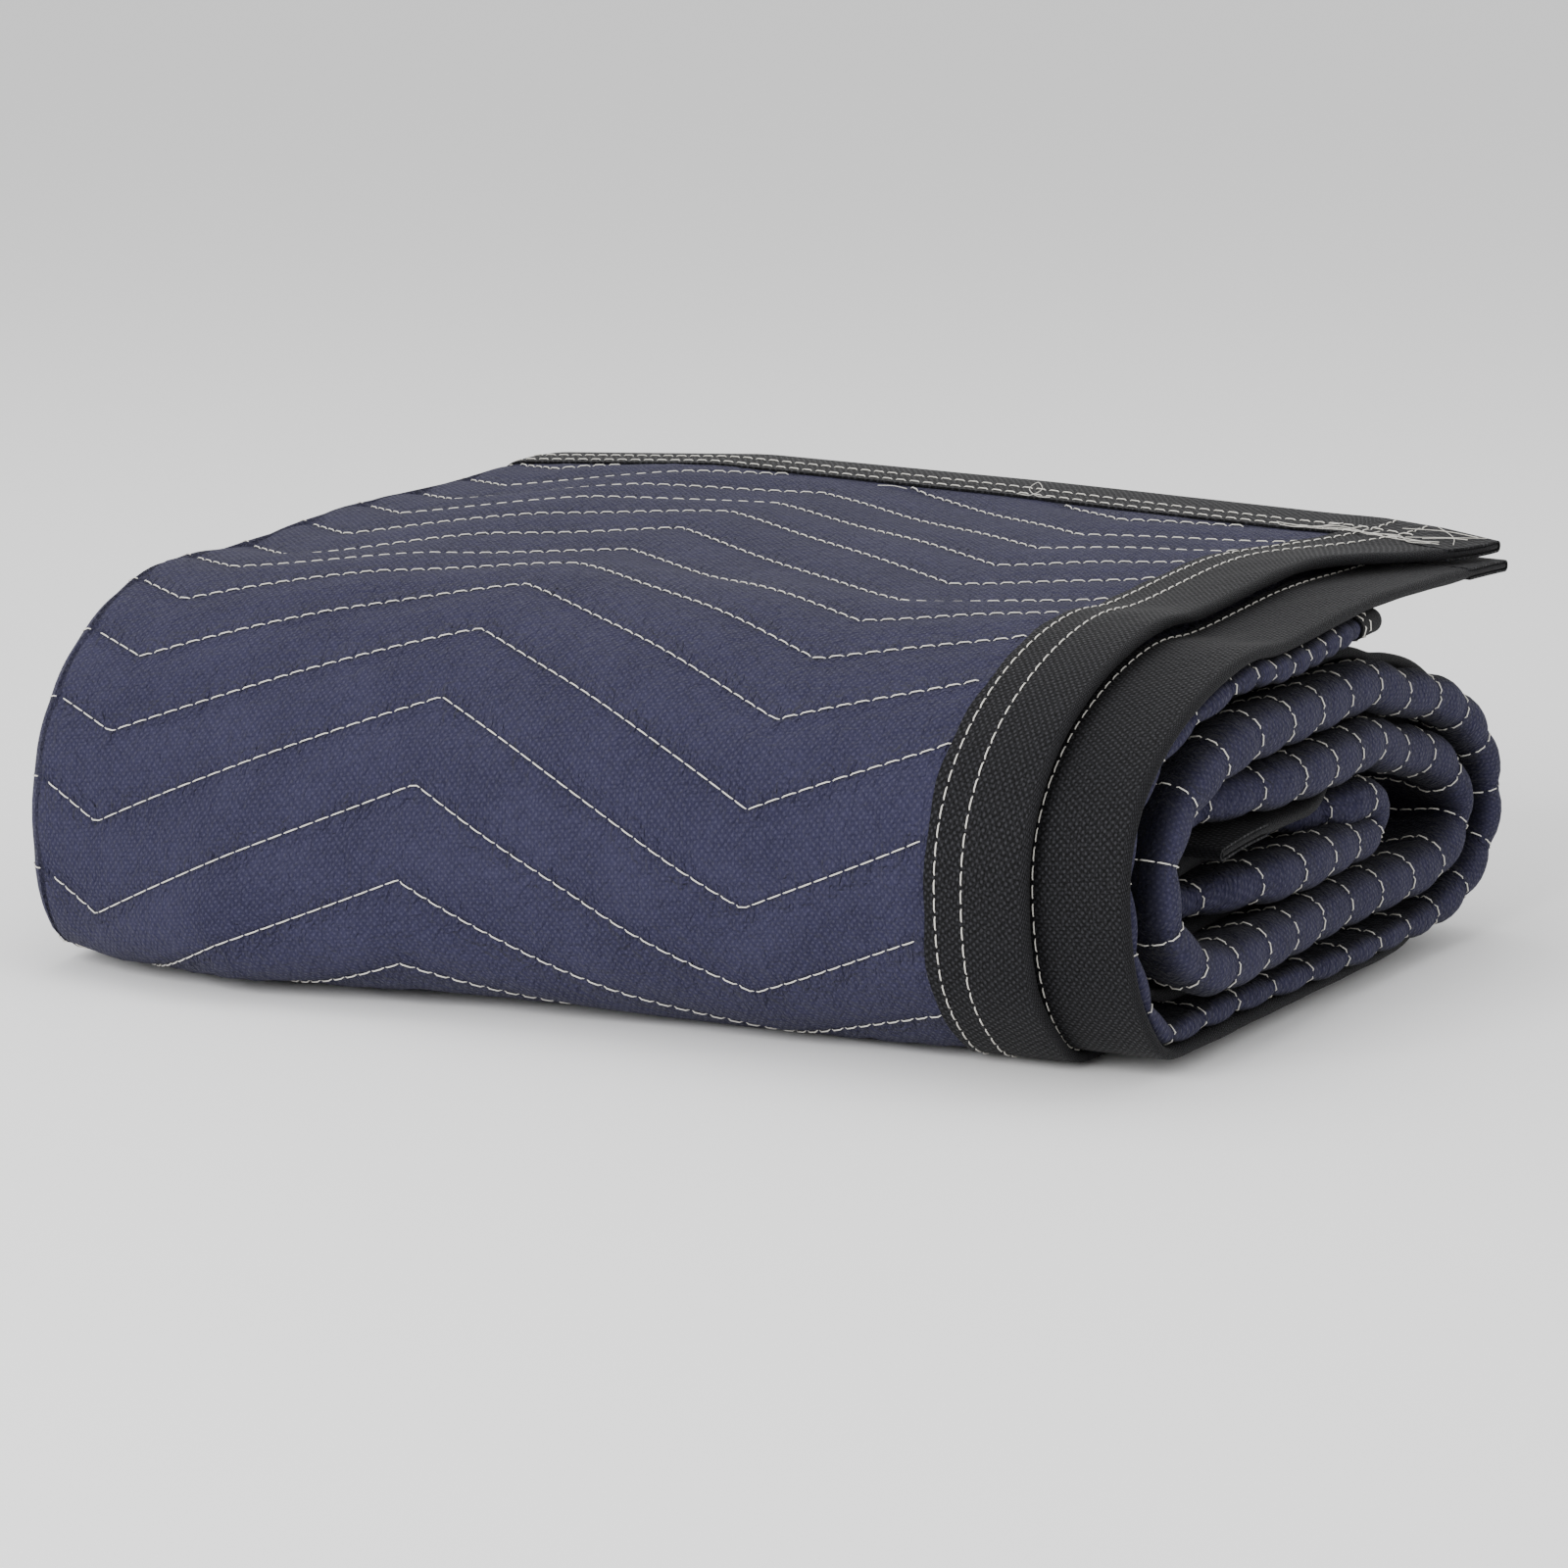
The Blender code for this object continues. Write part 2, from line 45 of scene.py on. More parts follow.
cloth = {
    "thick": 0.0040, "pitch": 0.0050,  # one quilted layer, and layer to layer
    "frontPinch": 0.86, "pinchFrom": 0.008, "pinchOver": 0.070,  # drawn tight round the front
    "corePinch": 0.16, "coreWidth": 0.040,  # and in the turn at the core
    "outerSlack": 0.0015, "endMargin": 0.0015,
    "outerEdge": 0.1092, "underEdge": 0.1425,  # bound edges of the outer and under leaves
    "leftFold": -0.3025, "rightFold": 0.1398,
}
quilting = {
    "rowPitch": 0.0338, "legWidth": 0.1372, "height": 0.0624, "skew": 0.0171,
    "firstRow": -0.02365,
    "valleyShare": 0.45, "boundShare": 0.50,  # thickness left under a row and a binding
    "foldGroove": 0.28, "foldPuff": 0.0006,  # the same over the folds, where the cloth is gathered
    "puff": 0.0009, "valleyWidth": 0.0070,  # the channels between rows stand out softly
    "foldRow": 0.0280,  # rows lie closer where the right fold is gathered
    "turnFrom": 0.070,  # the last leg of the zigzag runs on to the binding
    "followFrom": (0.010, 0.085), "followUntil": (0.90, 1.15),  # hidden rows run straight
    "stitch": 0.0065, "stitchShare": 0.88,
}
binding = {
    "width": 0.039, "wall": 0.0008, "gap": 0.0005, "ramp": 0.009, "lines": (0.0045, 0.0150),
    "rimInset": 0.0012, "rimReach": 0.0022, "rimAngles": (30, 60, 90, 120, 150),
    "lengthSteps": 370, "faceSteps": 9, "endSteps": 7,
}
wound = {
    "tailEnd": (0.343, 0.1450), "tailLeftRise": 0.0035, "tailSetback": 0.128, "tailStretch": 0.250,
    "cornerReach": 0.030, "cornerOver": 0.130, "cornerAcross": (0.080, 0.140),
    "coreEnd": (0.058, 0.076), "coreDraw": 0.015,
    "outerWrapEnd": 0.868, "wrapBlend": (0.05, 0.03), "runGap": 0.0022,
    # the small turn before the core lies deeper in the bundle
    "smallTurn": (1.50, 1.80), "nookWidth": 0.060, "nookDraw": 0.020,
    "tuckStart": (0.62, 0.72), "tuckStop": (1.90, 1.97), "edgeTuck": 0.014,
    "edgeRise": 0.0056, "riseFrom": 0.1145, "swellFrom": 0.110, "foldSwell": 0.0050,
    "humps": ((0.215, 0.045, 0.0022), (0.128, 0.035, -0.0015)),
    "footShares": (0.85, 1.30, 0.40, 0.0), "footBulge": 0.035, "footHeight": 0.055, "footDepth": 0.150,
    "leftDraw": 0.004, "leftTuck": 0.022, "leftRise": 0.004, "leftDroop": 0.007,
    "droopHeights": (0.070, 0.150),
    "tailReach": 0.040, "reachShares": (1.0, 0.75, 0.06),  # the tail hangs over the back on the left
    "hangLength": 0.060, "hangSteps": 40,
    "tailDroop": 2.5, "tailLift": 0.0012, "cornerDroop": 0.0040, "nearTail": 0.100,
    "centre": (-0.0809, 0.1781),
}
# half turns of the spiral, from the tail inwards:
# yIn, zIn, yTip, zTip, yOut, zOut, then what the left end adds to yIn, zTip and yOut
turns = (
    (0.114, 0.1375, 0.0086, 0.0720, 0.0445, 0.0097, -0.020, -0.016, -0.020),
    (0.266, 0.0097, 0.3340, 0.0510, 0.236, 0.1095, 0.0, 0.0, 0.0),
    (0.104, 0.1175, 0.0260, 0.0720, 0.060, 0.0320, -0.014, -0.014, -0.012),
    (0.250, 0.0305, 0.3130, 0.0530, 0.228, 0.0890, 0.0, 0.0, 0.0),
    (0.088, 0.0980, 0.0435, 0.0755, 0.066, 0.0540, -0.008, -0.003, -0.004),
    (0.222, 0.0500, 0.2360, 0.0600, 0.222, 0.0700, 0.0, 0.0, 0.0),
)
relaxing = {
    "step": 0.006, "freeOver": 0.060, "neighbours": 6, "rounds": 420, "share": 0.5,
    "fineStep": 0.002, "softWidth": 0.005, "samples": 1100,
}
# where an edge or a fold stands out from the layers: heights, and where they set in
leafLift = {
    "flat": -0.0004, "slack": 0.0007, "outside": 0.0026, "inside": 0.0006,
    "outerEdge": (0.046, 0.108), "offFloor": (0.0105, 0.040), "margin": 0.004,
    "corner": 0.85, "cornerAcross": (0.060, 0.105), "cornerAlong": (0.020, 0.110),
    "under": -0.0002, "underEdge": (0.0925, 0.1015),
    "loopOut": 0.0015, "loopIn": 0.0042, "loopFrom": 0.122, "loopPast": 0.002,
}
# slow waves of the edges and folds: height, length, start
wander = {
    "right": ((0.0022, 0.083, 0.0), (0.0014, 0.031, 1.0)),
    "edge": ((0.0014, 0.140, 0.4),),
    "left": ((0.0020, 0.110, 0.6), (0.0008, 0.042, 0.0)),
    "foldRows": ((0.12, 0.061, 0.0),),  # in rows
    "rightOver": 0.100, "leftFrom": -0.230, "leftOver": 0.0798, "foldReach": 1.1,
}
stripThick = 3 * cloth["pitch"] + cloth["thick"]
plainColumn, footColumn = -0.5 * quilting["legWidth"], -1.5 * quilting["legWidth"]


def ramp(value, low, high):
    t = np.clip((np.asarray(value, float) - low) / (high - low), 0.0, 1.0)
    return t * t * (3 - 2 * t)


def arcLengths(points):
    steps = np.sqrt(((points[1:] - points[:-1]) ** 2).sum(1))
    return np.concatenate([[0.0], np.cumsum(steps)])


def valuesAt(at, along, points):
    return np.stack([np.interp(at, along, column) for column in points.T], -1)


def resample(points, step):
    along = arcLengths(points)
    at = np.linspace(0.0, along[-1], int(round(along[-1] / step)) + 1)
    return valuesAt(at, along, points), at


def soften(points, width, step):
    reach = int(3 * width / step)
    weights = np.exp(-0.5 * (np.arange(-reach, reach + 1) * step / width) ** 2)
    weights /= weights.sum()
    head = 2 * points[0] - points[reach:0:-1]
    tail = 2 * points[-1] - points[-2:-reach - 2:-1]
    padded = np.concatenate([head, points, tail])
    return np.stack([np.convolve(padded[:, i], weights, "valid") for i in (0, 1)], 1)


def plannedPath(leftShare):
    tailRise = np.array([[0.0, leftShare * wound["tailLeftRise"]]])
    pieces = [np.array([wound["tailEnd"]]) + tailRise]
    runShare = np.linspace(0.0, 1.0, 41)[1:, None]
    angle = np.radians(np.linspace(0, 90, 31)[1:])
    for yIn, zIn, yTip, zTip, yOut, zOut, leftIn, leftTip, leftOut in turns:
        yIn, yOut = yIn + leftShare * leftIn, yOut + leftShare * leftOut
        zTip = zTip + leftShare * leftTip
        start = pieces[-1][-1]
        pieces.append(start + (np.array([yIn, zIn]) - start) * runShare)
        pieces.append(np.stack([yIn + (yTip - yIn) * np.sin(angle),
                                zTip + (zIn - zTip) * np.cos(angle)], 1))
        pieces.append(np.stack([yOut + (yTip - yOut) * np.cos(angle),
                                zTip + (zOut - zTip) * np.sin(angle)], 1))
    start = pieces[-1][-1]
    pieces.append(start + (np.array(wound["coreEnd"]) - start) * runShare)
    path = np.concatenate(pieces)
    onTop = arcLengths(path) < wound["tailEnd"][0] - turns[0][0]
    for y, width, height in wound["humps"]:
        path[:, 1] += onTop * height * np.exp(-((path[:, 0] - y) / width) ** 2)
    return path


def tightness(y):
    slack = np.clip((y - cloth["pinchFrom"]) / cloth["pinchOver"], 0.0, 1.0)
    return cloth["frontPinch"] + (1 - cloth["frontPinch"]) * slack


def relaxedPath(leftShare):
    # the runs inside the outer turn push each other apart and stay smooth
    path, at = resample(plannedPath(leftShare), relaxing["step"])
    free = np.clip((at - wound["outerWrapEnd"]) / relaxing["freeOver"], 0.0, 1.0)[:, None]
    index = np.arange(len(path))
    beside = np.abs(index[:, None] - index[None, :]) < relaxing["neighbours"]
    for _ in range(relaxing["rounds"]):
        tight = tightness(path[:, 0])
        apart = path[:, None] - path[None]
        distance = np.hypot(apart[..., 0], apart[..., 1]) + 1e-9
        wanted = (tight[:, None] + tight[None]) / 2 * stripThick + wound["runGap"]
        short = np.where(beside, 0.0, np.clip(wanted - distance, 0.0, None))
        push = (apart / distance[..., None] * short[..., None]).sum(1)
        path = path + relaxing["share"] * free * push / ((short > 0).sum(1) + 1e-9)[:, None]
        bend = np.zeros_like(path)
        bend[1:-1] = (path[2:] + path[:-2]) / 2 - path[1:-1]
        change = np.zeros_like(path)
        change[1:-1] = (bend[2:] + bend[:-2]) / 2 - bend[1:-1]
        path = path - relaxing["share"] * free * change
    fine = relaxing["fineStep"]
    return soften(resample(path, fine)[0], relaxing["softWidth"], fine)


share = np.linspace(0.0, 1.0, relaxing["samples"])


def evenly(path):
    along = arcLengths(path)
    return valuesAt(share * along[-1], along, path)


rightPath, leftPath = evenly(relaxedPath(0.0)), evenly(relaxedPath(1.0))
middlePath = (rightPath + leftPath) / 2
pathAt = arcLengths(middlePath)
pathLength = pathAt[-1]
pathAlong = np.gradient(middlePath, axis=0)
pathAlong /= np.hypot(*pathAlong.T)[:, None]
pathNormal = np.stack([pathAlong[:, 1], -pathAlong[:, 0]], 1)
outerFace = middlePath + pathNormal * (stripThick / 2 * tightness(middlePath[:, 0]))[:, None]
outerAt = arcLengths(outerFace)
outerAt -= outerAt[int(np.argmin(outerFace[:len(share) // 3, 0]))]  # 0 at the middle of the front
curvature = np.abs(np.gradient(np.unwrap(np.arctan2(pathAlong[:, 1], pathAlong[:, 0])), pathAt))
turnFrom, turnTo = wound["smallTurn"]
inTurn = (pathAt > turnFrom) & (pathAt < turnTo)
smallTurnAt = pathAt[np.argmin(np.where(inTurn, middlePath[:, 0], 1.0))]
coreTurnAt = pathAt[np.argmax(np.where(pathAt > turnTo, curvature, 0.0))]


beyondEnd = np.linspace(wound["hangLength"], 0.0, wound["hangSteps"])[:-1]


def hanging(path):
    # the tail reaches past the path's start and droops over the back
    beyond = beyondEnd[:, None]
    start = path[0] + (path[0] - path[10]) / np.hypot(*(path[0] - path[10])) * beyond
    start[:, 1] -= wound["tailDroop"] * beyond[:, 0] ** 2
    return np.concatenate([start, path])


wideShare = np.concatenate([-beyondEnd / pathLength, share])
rightTrack, leftTrack = hanging(rightPath), hanging(leftPath)


def centre(s, x):
    # point on the path at length s and station x, and the direction out of the bundle there
    left = np.clip(-x / (2 * quilting["legWidth"]), -0.5, 1.15)
    here = s / pathLength

    def track(at, i):
        return (np.interp(at, wideShare, rightTrack[:, i]) * (1 - left)
                + np.interp(at, wideShare, leftTrack[:, i]) * left)

    y, z = track(here, 0), track(here, 1)
    dy = track(here + 0.001, 0) - track(here - 0.001, 0)
    dz = track(here + 0.001, 1) - track(here - 0.001, 1)
    size = np.hypot(dy, dz)
    return y, z, dz / size, -dy / size


def zigzag(x):
    phase = np.abs(x / quilting["legWidth"]) % 2.0
    return -quilting["height"] * np.where(phase < 1, phase, 2 - phase) + quilting["skew"] * x


def yAt(s):
    return np.interp(s, pathAt, middlePath[:, 0])


def tightAt(s):
    core = np.exp(-((s - coreTurnAt) / cloth["coreWidth"]) ** 2)
    return tightness(yAt(s)) * (1 - cloth["corePinch"] * core)


def insideShare(s):
    before, after = wound["wrapBlend"]
    return ramp(s, wound["outerWrapEnd"] - before, wound["outerWrapEnd"] + after)


def tuckedShare(s):
    return ramp(s, *wound["tuckStart"]) * (1 - ramp(s, *wound["tuckStop"]))


def nook(s):
    return np.exp(-((s - smallTurnAt) / wound["nookWidth"]) ** 2)


def foldLoop(x):
    # the cloth opens into a soft loop where it turns round at the right
    return ramp(x, leafLift["loopFrom"], cloth["rightFold"] + leafLift["loopPast"])


def leafOffset(leaf, x, s):
    # distance of a layer's middle from the strip's centre line, outwards positive
    tight, inside, pitch, margin = tightAt(s), insideShare(s), cloth["pitch"], leafLift["margin"]
    if leaf == "outer":
        height = np.interp(s, pathAt, middlePath[:, 1])
        outside = ramp(height, *leafLift["offFloor"]) * (1 - inside)
        slack = (1 - tight) / (1 - cloth["frontPinch"])
        edge = ramp(x, *leafLift["outerEdge"])
        # at the tail's overstitched corner the outer leaf lies on the under one
        sewn = leafLift["corner"] * ramp(x, *leafLift["cornerAcross"])
        outside = outside * (1 - sewn * (1 - ramp(s, *leafLift["cornerAlong"])))
        lift = (leafLift["flat"] + leafLift["slack"] * slack * (1 - inside)
                + leafLift["outside"] * outside + leafLift["inside"] * inside)
        return 1.5 * pitch * tight + cloth["outerSlack"] * outside + lift * edge
    if leaf == "under":
        edge = ramp(x, *leafLift["underEdge"])
        rise = ramp(x, wound["riseFrom"] - margin, cloth["underEdge"] + margin)
        risen = wound["edgeRise"] * tuckedShare(s) * rise
        return (0.5 * pitch + risen) * tight + leafLift["under"] * edge
    if leaf == "back":
        edge = ramp(x, wound["swellFrom"] - margin, cloth["rightFold"] + margin)
        swell = wound["foldSwell"] * tuckedShare(s) ** 2 * edge * (1 - nook(s))
        return (-0.5 * pitch + swell) * tight + leafLift["loopOut"] * foldLoop(x) * inside
    loop = leafLift["loopIn"] * foldLoop(x) * tuckedShare(s)
    return -1.5 * pitch * tight - loop * (1 - nook(s))


def waves(terms, s):
    return sum(height * np.sin(s / length + start) for height, length, start in terms)


def rightShift(s):
    drawn = wound["coreDraw"] * ramp(s, *wound["tuckStop"])
    return waves(wander["right"], s) - wound["nookDraw"] * nook(s) - drawn


def edgeShift(leaf, s):
    corner = 0.0
    if leaf == "outer":
        corner = wound["cornerReach"] * (1 - ramp(s, 0.0, wound["cornerOver"]))
    return waves(wander["edge"], s) - wound["edgeTuck"] * tuckedShare(s) + corner


# a station is a place in the section: on a leaf, or at an angle round the fold at one side
def leafStation(leaf, x):
    return {"leaf": leaf, "x": x, "side": 0}


def foldStation(low, high, side, facing, angle):
    x = cloth["rightFold"] if side > 0 else cloth["leftFold"]
    return {"leaf": None, "low": low, "high": high, "x": x, "side": side, "facing": facing,
            "angle": np.radians(angle)}


def sectionPoint(station, s):
    # middle of the cloth: x, offset, and the direction of its face
    x = station["x"]
    leaf = station["leaf"]
    if leaf:
        right = rightShift(s) if leaf in ("back", "inner") else edgeShift(leaf, s)
        atLeft = np.clip((wander["leftFrom"] - x) / wander["leftOver"], 0.0, 1.0)
        moved = (x + np.clip(x / wander["rightOver"], 0.0, 1.0) * right
                 + atLeft * waves(wander["left"], s))
        return moved, leafOffset(leaf, x, s), 0.0, 1.0 if leaf in ("outer", "back") else -1.0
    low, high = leafOffset(station["low"], x, s), leafOffset(station["high"], x, s)
    side, angle, facing = station["side"], station["angle"], station["facing"]
    shift = rightShift(s) if side > 0 else waves(wander["left"], s)
    reach = (high - low) / 2 * (wander["foldReach"] if side > 0 else 1.0)
    return (x + shift + side * reach * np.cos(angle),
            (high + low) / 2 + (high - low) / 2 * np.sin(angle),
            facing * side * np.cos(angle), facing * np.sin(angle))


def settle(x, y, z):
    # the foot bulges forward near the left end, which is drawn in and droops
    low = np.exp(-(z / wound["footHeight"]) ** 2)
    ahead = np.clip(1.0 - y / wound["footDepth"], 0.0, None) ** 2
    columns = (cloth["leftFold"], footColumn, plainColumn, wound["swellFrom"])
    foot = np.interp(x, columns, wound["footShares"])
    end = np.interp(x, (cloth["leftFold"], footColumn), (1.0, 0.0))
    y = y + (end * wound["leftDraw"] - foot * wound["footBulge"]) * low * ahead
    droop = wound["leftDroop"] * ramp(z, *wound["droopHeights"])
    z = z + end * (wound["leftRise"] * low * ahead - droop)
    return x + end * wound["leftTuck"] * low * ahead, y, z


floorRest = {"height": 0.0004, "share": 0.3, "below": 0.010}  # no cloth sinks into the floor


def place(station, s, lift=0.0):
    # points of the cloth, or ones that stand off its middle by lift
    x = station["x"]
    reach = np.interp(x, (footColumn, plainColumn, wound["swellFrom"]), wound["reachShares"])
    droop = wound["cornerDroop"] * ramp(x, *wound["cornerAcross"])
    if station["leaf"] in ("inner", "back") or station["side"] == 1:
        part = (x - cloth["leftFold"]) / (cloth["rightFold"] - cloth["leftFold"])
        s = s + wound["tailSetback"] * part * np.clip(1.0 - s / wound["tailStretch"], 0.0, None)
        droop = droop * (part <= 0)
    near = np.clip(1.0 - s / wound["nearTail"], 0.0, None) ** 2
    rise = (wound["tailLift"] * reach - droop) * near
    s = s - wound["tailReach"] * reach * np.clip(1.0 - s / wound["tailStretch"], 0.0, None)
    x, offset, faceX, faceOut = sectionPoint(station, s)
    y, z, normalY, normalZ = centre(s, x)
    offset = offset + lift * faceOut
    x, y, z = settle(x, y + normalY * offset, z + normalZ * offset)
    x = x + lift * faceX - wound["centre"][0]
    lowest = floorRest["height"] + floorRest["share"] * lift * (z < floorRest["below"])
    z = np.maximum(z + rise, lowest)
    return np.stack(np.broadcast_arrays(x, y - wound["centre"][1], z), -1)


print("path and section ready, length", round(float(pathLength), 3))

looks = {
    # the last colour on the next line is painted shade, put on cloth deep between the layers
    "navy": "#2c2b41", "navyDeep": "#242338", "navyWorn": "#424156", "navyShut": "#0b0b16",
    # the first colour on the next line is painted shade for the grooves under the rows
    "groove": "#161728", "black": "#060607", "blackDeep": "#040405", "blackWorn": "#323236",
    "thread": "#d6d3cb", "threadShade": "#c9c6be", "floor": "#fbfbfb",
    "dotPitch": 0.0019,  # real embossed dots are about 1.5 mm apart; a little coarser to show
    "dotEdge": (0.34, 0.18), "dotTurn": 38, "dotGloss": 0.28,
    "fibre": 0.0009, "mottle": 0.030,
    "besideRow": 0.26, "grooveShadeWidth": 0.07,  # in rows
}


def srgb(text):
    parts = [int(text[i:i + 2], 16) / 255 for i in (1, 3, 5)]
    return (*[p / 12.92 if p <= 0.04045 else ((p + 0.055) / 1.055) ** 2.4 for p in parts], 1.0)


def addNode(tree, kind, settings=None, **links):
    node = tree.nodes.new(kind)
    for key, value in (settings or {}).items():
        if hasattr(node, key):
            setattr(node, key, value)
        else:
            node.inputs[int(key[2:]) if key.startswith("in") else key].default_value = value
    for key, source in links.items():
        tree.links.new(source, node.inputs[int(key[2:]) if key.startswith("in") else key])
    return node


def noise(tree, vector, settings):
    return addNode(tree, "ShaderNodeTexNoise", settings, Vector=vector).outputs["Fac"]


def remap(tree, value, low, high, toLow=0.0, toHigh=1.0, smooth=False):
    settings = {"From Min": low, "From Max": high, "To Min": toLow, "To Max": toHigh}
    if smooth:
        settings["interpolation_type"] = "SMOOTHSTEP"
    return addNode(tree, "ShaderNodeMapRange", settings, Value=value).outputs[0]


def mixColours(tree, share, first, second):
    settings, links = {"data_type": "RGBA", "in7": second}, {"in0": share}
    (settings if isinstance(first, tuple) else links)["in6"] = first
    return addNode(tree, "ShaderNodeMix", settings, **links).outputs[2]


def bump(tree, height, strength, distance, normal=None, invert=False):
    links = {"Normal": normal} if normal else {}
    settings = {"Strength": strength, "Distance": distance, "invert": invert}
    return addNode(tree, "ShaderNodeBump", settings, Height=height, **links).outputs[0]


def newMaterial(name):
    material = bpy.data.materials.new(name)
    material.use_nodes = True
    tree = material.node_tree
    tree.nodes.clear()
    shader = addNode(tree, "ShaderNodeBsdfPrincipled")
    addNode(tree, "ShaderNodeOutputMaterial", None, Surface=shader.outputs[0])
    return material, tree, shader


def setShader(tree, shader, sources, values):
    for name, source in sources.items():
        tree.links.new(source, shader.inputs[name])
    for name, value in values.items():
        shader.inputs[name].default_value = value


def spunbond(name, base, deep, worn, rough, sheen, wornShare, extra):
    # spunbond polypropylene: matted fibres, pressed together in a grid of small shiny dots
    material, tree, shader = newMaterial(name)
    uv = addNode(tree, "ShaderNodeUVMap", {"uv_map": "flat"}).outputs[0]  # tenths of a metre
    tenfold = {"Scale": (10.0, 10.0, 10.0)}
    centimetres = addNode(tree, "ShaderNodeMapping", tenfold, Vector=uv).outputs[0]
    turn = {"Rotation": (0, 0, math.radians(looks["dotTurn"]))}
    turned = addNode(tree, "ShaderNodeMapping", turn, Vector=uv).outputs[0]
    grid = {"Scale": 0.1 / looks["dotPitch"], "Randomness": 0.12}
    cells = addNode(tree, "ShaderNodeTexVoronoi", grid, Vector=turned)
    dot = remap(tree, cells.outputs["Distance"], *looks["dotEdge"])
    fibre = noise(tree, uv, {"Scale": 0.1 / looks["fibre"], "Detail": 5.0, "Roughness": 0.7})
    mottle = noise(tree, uv, {"Scale": 0.1 / looks["mottle"], "Detail": 4.0, "Roughness": 0.6})
    # slow fading between two tones, then pale strands and pale rubbed dots
    colour = mixColours(tree, remap(tree, mottle, 0.35, 0.68), srgb(deep), srgb(base))
    colour = mixColours(tree, remap(tree, fibre, 0.45, 0.75, 0.0, wornShare), colour, srgb(worn))
    rubbed = {"operation": "MULTIPLY", "in1": wornShare * 0.8}
    dotShare = addNode(tree, "ShaderNodeMath", rubbed, in0=dot).outputs[0]
    colour = mixColours(tree, dotShare, colour, srgb(worn))
    normal = bump(tree, dot, 0.55, 0.0003, invert=True)  # the dots are pressed in
    normal = bump(tree, fibre, 0.35, 0.0003, normal)
    colour, normal = extra(tree, centimetres, colour, normal)
    roughness = remap(tree, dot, 0.0, 1.0, rough, rough - looks["dotGloss"])
    setShader(tree, shader, {"Base Color": colour, "Roughness": roughness, "Normal": normal},
              {"Sheen Weight": sheen, "Sheen Roughness": 0.45, "IOR": 1.49, "Specular IOR Level": 0.12})
    return material


def quiltedPuckersAndShade(tree, centimetres, colour, normal):
    # small puckers beside each row, and painted shade that darkens its groove
    rowMap = addNode(tree, "ShaderNodeUVMap", {"uv_map": "rows"}).outputs[0]
    split = addNode(tree, "ShaderNodeSeparateXYZ", None, Vector=rowMap)
    fold = {"operation": "PINGPONG", "in1": 0.5}
    near = addNode(tree, "ShaderNodeMath", fold, in0=split.outputs[1]).outputs[0]
    beside = remap(tree, near, 0.0, looks["besideRow"], 1.0, 0.0, True)
    # painted shade: the cloth turns darker close to each row, where its groove lies
    groove = remap(tree, near, 0.0, looks["grooveShadeWidth"], 0.45, 0.0, True)
    colour = mixColours(tree, groove, colour, srgb(looks["groove"]))
    # painted shade: the cloth deep between the layers is darkened to near black, standing in for the
    # shade that falls there
    paintedShadeMap = addNode(tree, "ShaderNodeUVMap", {"uv_map": "open"}).outputs[0]
    paintedShade = addNode(tree, "ShaderNodeSeparateXYZ", None, Vector=paintedShadeMap).outputs[0]
    colour = mixColours(tree, paintedShade, colour, srgb(looks["navyShut"]))
    stretch = addNode(tree, "ShaderNodeMapping", {"Scale": (9.0, 1.6, 1.0)}, Vector=rowMap).outputs[0]
    pucker = noise(tree, stretch, {"Scale": 1.0, "Detail": 3.0, "Distortion": 0.6})
    shaped = addNode(tree, "ShaderNodeMath", {"operation": "MULTIPLY"}, in0=pucker, in1=beside)
    normal = bump(tree, shaped.outputs[0], 1.0, 0.0038, normal)
    soft = {"Scale": 2.6, "Detail": 4.0, "Roughness": 0.55, "Distortion": 0.9}
    crease = noise(tree, centimetres, soft)
    return colour, bump(tree, crease, 0.7, 0.0055, normal)


def tapeFinish(tree, centimetres, colour, normal):
    # folded tape creases softly across its length
    crease = noise(tree, centimetres, {"Scale": 5.0, "Detail": 3.0, "Distortion": 0.5})
    return colour, bump(tree, crease, 0.5, 0.0016, normal)


navyCloth = spunbond("spunbond_polypropylene_navy", looks["navy"], looks["navyDeep"], looks["navyWorn"],
                     0.88, 0.04, 0.62, quiltedPuckersAndShade)
blackTape = spunbond("spunbond_polypropylene_black", looks["black"], looks["blackDeep"],
                     looks["blackWorn"], 0.78, 0.03, 0.70, tapeFinish)

# spun polyester thread: off-white, softly glossy, two plies twisted
thread, tree, shader = newMaterial("spun_polyester_thread")
objectMap = addNode(tree, "ShaderNodeTexCoord").outputs["Object"]
twist = noise(tree, objectMap, {"Scale": 900.0, "Detail": 2.0})
tint = mixColours(tree, twist, srgb(looks["threadShade"]), srgb(looks["thread"]))
setShader(tree, shader, {"Base Color": tint, "Normal": bump(tree, twist, 0.4, 0.0002)},
          {"Roughness": 0.55, "IOR": 1.54})
print("materials made")


def addObject(name, data):
    made = bpy.data.objects.new(name, data)
    bpy.context.scene.collection.objects.link(made)
    return made


def newPiece(name, verts, faces, material, uvs=None, smooth=60):
    mesh = bpy.data.meshes.new(name)
    mesh.from_pydata(verts.tolist(), [], faces.tolist() if hasattr(faces, "tolist") else faces)
    for layer, values in (uvs or {}).items():
        data = mesh.uv_layers.new(name=layer).data
        loops = np.empty(len(mesh.loops), int)
        mesh.loops.foreach_get("vertex_index", loops)
        data.foreach_set("uv", values[loops].ravel())
    mesh.materials.append(material)
    mesh.shade_smooth()
    mesh.set_sharp_from_angle(angle=math.radians(smooth))
    piece = addObject(name, mesh)
    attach(piece, "root")
    return piece


def gridFaces(rows, columns, start=0, flip=False):
    j, i = np.meshgrid(np.arange(rows - 1), np.arange(columns - 1), indexing="ij")
    a = start + (j * columns + i).ravel()
    quad = np.stack([a, a + 1, a + columns + 1, a + columns], 1)
    return quad[:, ::-1] if flip else quad


